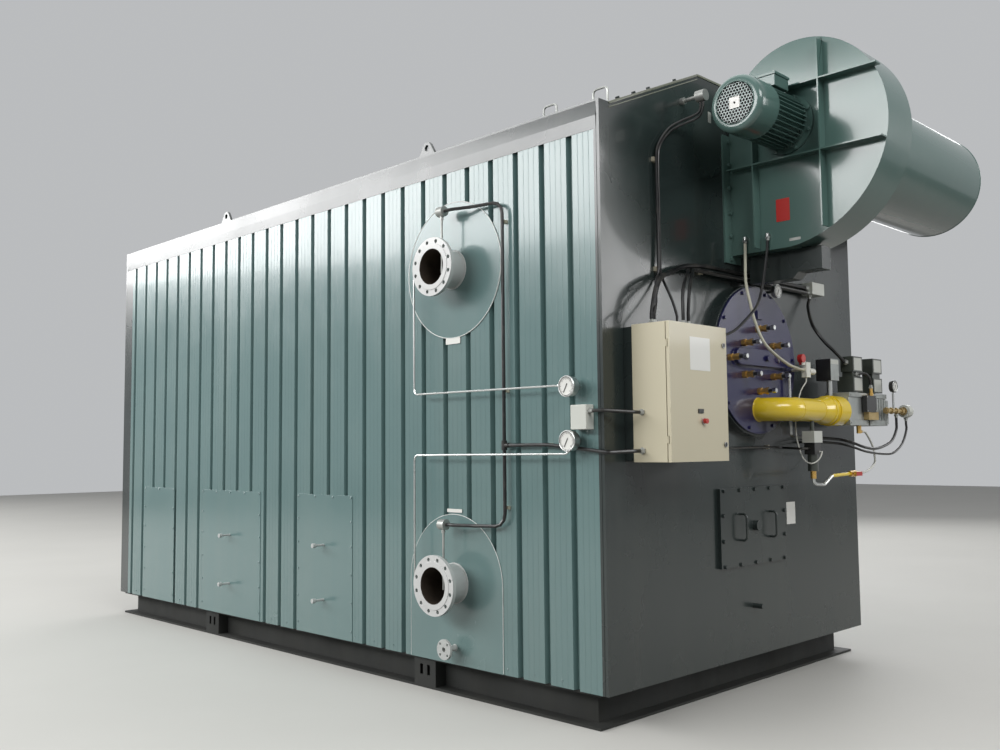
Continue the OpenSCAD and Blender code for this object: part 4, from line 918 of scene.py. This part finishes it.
# %% Silencer beads and bolts
beads = [hoop((along, FAN_Y, FAN_Z), RIGHT, 0.3465, thick) for along, thick in ((0.180, 0.0045), (1.862, 0.0035))]
done(joined(beads), "silencer_beads", fan_paint, slot="fan_paint", angle=60)
flange_bolts = []
for k in range(16):
    angle = 2 * math.pi * (k + 0.5) / 16
    flange_bolts.append(facing((0.1505, FAN_Y + 0.375 * math.cos(angle), FAN_Z + 0.375 * math.sin(angle)),
                               RIGHT, angle))
repeat(bolt, flange_bolts, "inlet_bolts", zinc)

# %% [markdown]
# ## Cable glands and pipe fittings
# Every cable enters its box through a gland: a hexagon nut, a thread and a rounded cap. One
# gland is modelled around +Z and repeated wherever a cable or a hose ends.

# %% One gland
bpy.ops.mesh.primitive_cylinder_add(vertices=6, radius=0.0165, depth=0.010, location=(0, 0, 0.005))
gland = bpy.context.object
shape_of(gland)
top_faces(gland)
bpy.ops.mesh.inset(thickness=0.004)
bpy.ops.transform.translate(value=(0, 0, 0.004))
bpy.ops.mesh.extrude_region_move(TRANSFORM_OT_translate={"value": (0, 0, 0.008)})
bpy.ops.mesh.inset(thickness=0.0025)
bpy.ops.transform.translate(value=(0, 0, 0.003))
bpy.ops.object.mode_set(mode="OBJECT")

# %% Glands where the cables end
cabinet_x, cabinet_top, cabinet_right = -1.200, 2.027, -0.690
gland_places = [
    (cabinet_x + 0.100, FRONT_FACE - 0.120, cabinet_top, UP, 1.35),
    (cabinet_x + 0.222, FRONT_FACE - 0.225, cabinet_top, UP, 1.0),
    (cabinet_x + 0.268, FRONT_FACE - 0.225, cabinet_top, UP, 1.0),
    (cabinet_x + 0.060, FRONT_FACE - 0.165, cabinet_top, UP, 0.85),
    (cabinet_x + 0.240, FRONT_FACE - 0.175, cabinet_top, UP, 0.85),
    (cabinet_right, FRONT_FACE - 0.125, 1.390, RIGHT, 0.85),
    (cabinet_right, FRONT_FACE - 0.242, 1.996, RIGHT, 0.9),
    (cabinet_x, FRONT_FACE - 0.120, 1.384, SIDE, 1.1),
    (cabinet_x, FRONT_FACE - 0.120, 1.578, SIDE, 1.0),
    (0.680, FRONT_FACE - 0.042, 2.418, SIDE, 1.3),
    (0.680, FRONT_FACE - 0.030, 2.388, SIDE, 0.85),
    (0.680, FRONT_FACE - 0.052, 2.388, SIDE, 0.85),
    (0.705, FRONT_FACE - 0.042, 2.378, DOWN, 1.1),
    (0.785, GAS_Y - 0.020, 1.931, SIDE, 1.1),
    (0.950, GAS_Y - 0.100, 1.766, UP, 0.9),
    (0.835, GAS_Y - 0.055, 1.855, (0, -1, 0), 0.9),
    (1.243, GAS_Y - 0.130, 1.604, DOWN, 0.95),
    (1.392, GAS_Y - 0.130, 1.584, DOWN, 0.95),
    (-1.394, -2.7105, 1.588, (0, -1, 0), 0.95),
]
glands = []
for x, y, z, direction, size in gland_places:
    glands.append(facing((x, y, z), direction, 0, size))
repeat(gland, glands, "cable_glands", zinc)
hose_ends = [facing((-0.1650, FRONT_FACE - 0.107, 2.602), DOWN, 0, 0.9),
             facing((-0.1630, FRONT_FACE - 0.254, 2.602), DOWN, 0, 0.9)]
repeat(gland, hose_ends, "hose_ends", steel)
hide_pattern(gland)

# %% Elbow bodies where the two hoses leave the fan housing
bpy.ops.mesh.primitive_cylinder_add(vertices=24, radius=0.011, depth=0.018, location=(0, 0, 0.009))
elbow = bpy.context.object
shape_of(elbow)
top_faces(elbow)
bpy.ops.mesh.extrude_region_move(TRANSFORM_OT_translate={"value": (0, 0, 0.004)})
bpy.ops.mesh.inset(thickness=0.003)
bpy.ops.transform.translate(value=(0, 0, 0.002))
bpy.ops.object.mode_set(mode="OBJECT")
elbows = []
for y in (FRONT_FACE - 0.107, FRONT_FACE - 0.254):
    elbows.append(facing((-0.150, y, 2.612), SIDE, 0, 1.0))
    elbows.append(facing((-0.164, y, 2.600), UP, 0, 1.0))
repeat(elbow, elbows, "hose_elbows", steel)
hide_pattern(elbow)

# %% [markdown]
# ## Gas train
# Screws hold the castings, blank pale panels cover the drives, and cast ribs stiffen the second
# valve. They are small, but there are many of them at this corner.

# %% Screws and panels of the gas train
train_screws = []
for left in (0.685, 0.965):
    for x in (left + 0.018, left + 0.232):
        train_screws += [facing((x, GAS_Y - 0.083, z), FRONT) for z in (1.545, 1.721)]
train_screws += [facing((1.245, GAS_Y + dy, GAS_Z + dz), RIGHT, 0, 1.3)
                 for dy in (-0.060, 0.060) for dz in (-0.060, 0.060)]
train_screws += [facing((x, GAS_Y - 0.115, z), FRONT, 0, 0.7) for x in (0.863, 0.983) for z in (1.620, 1.710)]
repeat(screw, train_screws, "train_screws", zinc, angle=50)
for index, left in enumerate((0.785, 1.065)):
    for level, z in (("lower", 1.791), ("upper", 1.919)):
        bare_plate(left + 0.065, GAS_Y - 0.0655, z, (0.104, 0.001, 0.080), panel_paint,
                   level + "_drive_panel_%d" % (index + 1), radius=0.005)
bare_plate(0.6435, GAS_Y - 0.0125, 1.925, (0.100, 0.001, 0.026), panel_paint, "control_drive_plate", radius=0.003)
rib_bar = box((0.006, 0.006, 0.140))
pick_faces(rib_bar, lambda centre, normal: normal.y < -0.9)
bpy.ops.transform.resize(value=(0.5, 1, 0.97))
bpy.ops.object.mode_set(mode="OBJECT")
valve_ribs = [Matrix.Translation((0.965 + 0.035 + 0.036 * k, GAS_Y - 0.077, 1.6335)) for k in range(1, 6)]
repeat(rib_bar, valve_ribs, "valve_ribs", cast_alloy, slot="valve_alloy")
hide_pattern(rib_bar)

# %% [markdown]
# ## Control cabinet
# The door's switches and locks come from the drawing. Here it gets a blank pale plate in its
# upper half, and steel rings round the locks and the stop button.

# %% Cabinet door details
door_face = FRONT_FACE - 0.061 - 0.207 - 0.005 - 0.020
bare_plate(-0.936, door_face - 0.0005, 1.875, (0.180, 0.001, 0.170), white_paint, "door_plate",
           body="door", radius=0.003)
seals = []
bpy.ops.mesh.primitive_torus_add(major_radius=0.0125, minor_radius=0.0015, major_segments=32, minor_segments=6)
collar = bpy.context.object
for x, z in ((-0.722, 1.412), (-0.722, 1.932)):
    seals.append(facing((x, door_face - 0.006, z), FRONT))
seals.append(facing((-0.920, door_face - 0.006, 1.532), FRONT, 0, 1.25))
repeat(collar, seals, "lock_rings", steel, body="door")
hide_pattern(collar)
print("cabinet dressed")

# %% Burner handle and ports
done(hoop((0.190, PLATE_FACE - 0.027, 1.924), (0.5, -0.6, 0.2), 0.018, 0.0045, 32, 10), "burner_grip", steel)
ports = [facing((x, PLATE_FACE - 0.026, 1.924), FRONT, 0, 1.6) for x in (-0.170, 0.060)]
repeat(bolt, ports, "burner_ports", burner_paint, slot="burner_paint")
bare_plate(-0.556, FRONT_FACE - 0.140, 3.240, (0.030, 0.001, 0.062), white_paint, "probe_tag", radius=0.004)
hide_pattern(screw)
hide_pattern(bolt)

# %% [markdown]
# ## Studio
# A plain pale floor and backdrop, with a long soft light high on the left, which mirrors in the
# upper part of the glossy side sheets, and four more. The camera and the mirrors see a pale floor and
# background, but less of their light reaches the boiler from below, so its lower half stays
# deep.

# %% Floor
FLOOR_SIZE = 60


def seen_directly(shader):
    """1 for rays from the camera or from a mirror, 0 for scattered light."""
    camera_ray = shader.node("ShaderNodeLightPath", out="Is Camera Ray")
    mirror_ray = shader.node("ShaderNodeLightPath", out="Is Glossy Ray")
    return camera_ray.math("MAXIMUM", mirror_ray)


ground = Shader("plain pale floor", Roughness=0.6)
patch = ground.noise(0.6, 5.0)
pale = ground.mix(patch, linear((196, 195, 190)), linear((206, 205, 200)))
ground.wire(Base_Color=ground.mix(seen_directly(ground), linear((88, 87, 84)), pale))
bpy.ops.mesh.primitive_plane_add(size=FLOOR_SIZE, location=(0, 0, 0))
floor = bpy.context.object
floor.name = "floor"
floor.data.materials.append(ground.material)


# %% Soft lights
def softbox(name, place, target, size, power):
    light = bpy.data.lights.new(name, "AREA")
    light.shape = "RECTANGLE"
    light.size, light.size_y = size
    light.energy = power
    lamp = bpy.data.objects.new(name, light)
    bpy.context.collection.objects.link(lamp)
    lamp.location = place
    lamp.rotation_euler = (Vector(target) - Vector(place)).to_track_quat("-Z", "Y").to_euler()
    return lamp


window = softbox("window light", (-9.5, 11.0, 6.9), (-1.3, 8.0, 2.4), (32, 3.2), 3100)
window.data.diffuse_factor = 0.6
softbox("front light", (-3.0, -11.0, 7.5), (0.3, -2.8, 1.5), (7, 3), 520)
softbox("light from the right", (10.0, 5.0, 6.0), (1.3, 0.0, 1.6), (12, 4), 500)
softbox("top light", (0.0, 0.0, 9.5), (0.0, 0.0, 0.0), (10, 12), 380)
softbox("fill from the right", (9.5, -12.4, 5.4), (0.0, -2.8, 2.0), (5, 4), 330)

# %% Background
world = bpy.data.worlds.new("studio")
bpy.context.scene.world = world
world.use_nodes = True
tree = world.node_tree
tree.nodes.clear()
paths = tree.nodes.new("ShaderNodeLightPath")
seen = tree.nodes.new("ShaderNodeMath")
seen.operation = "MAXIMUM"
tree.links.new(paths.outputs["Is Camera Ray"], seen.inputs[0])
tree.links.new(paths.outputs["Is Glossy Ray"], seen.inputs[1])
backgrounds = []
for colour, strength in (((226, 228, 230), 0.24), ((206, 208, 210), 0.8)):
    background = tree.nodes.new("ShaderNodeBackground")
    background.inputs["Color"].default_value = linear(colour)
    background.inputs["Strength"].default_value = strength
    backgrounds.append(background)
blend = tree.nodes.new("ShaderNodeMixShader")
tree.links.new(seen.outputs[0], blend.inputs[0])
tree.links.new(backgrounds[0].outputs[0], blend.inputs[1])
tree.links.new(backgrounds[1].outputs[0], blend.inputs[2])
tree.links.new(blend.outputs[0], tree.nodes.new("ShaderNodeOutputWorld").inputs[0])
bpy.context.scene.view_settings.view_transform = "Standard"

# %% Update the view layer
bpy.context.view_layer.update()
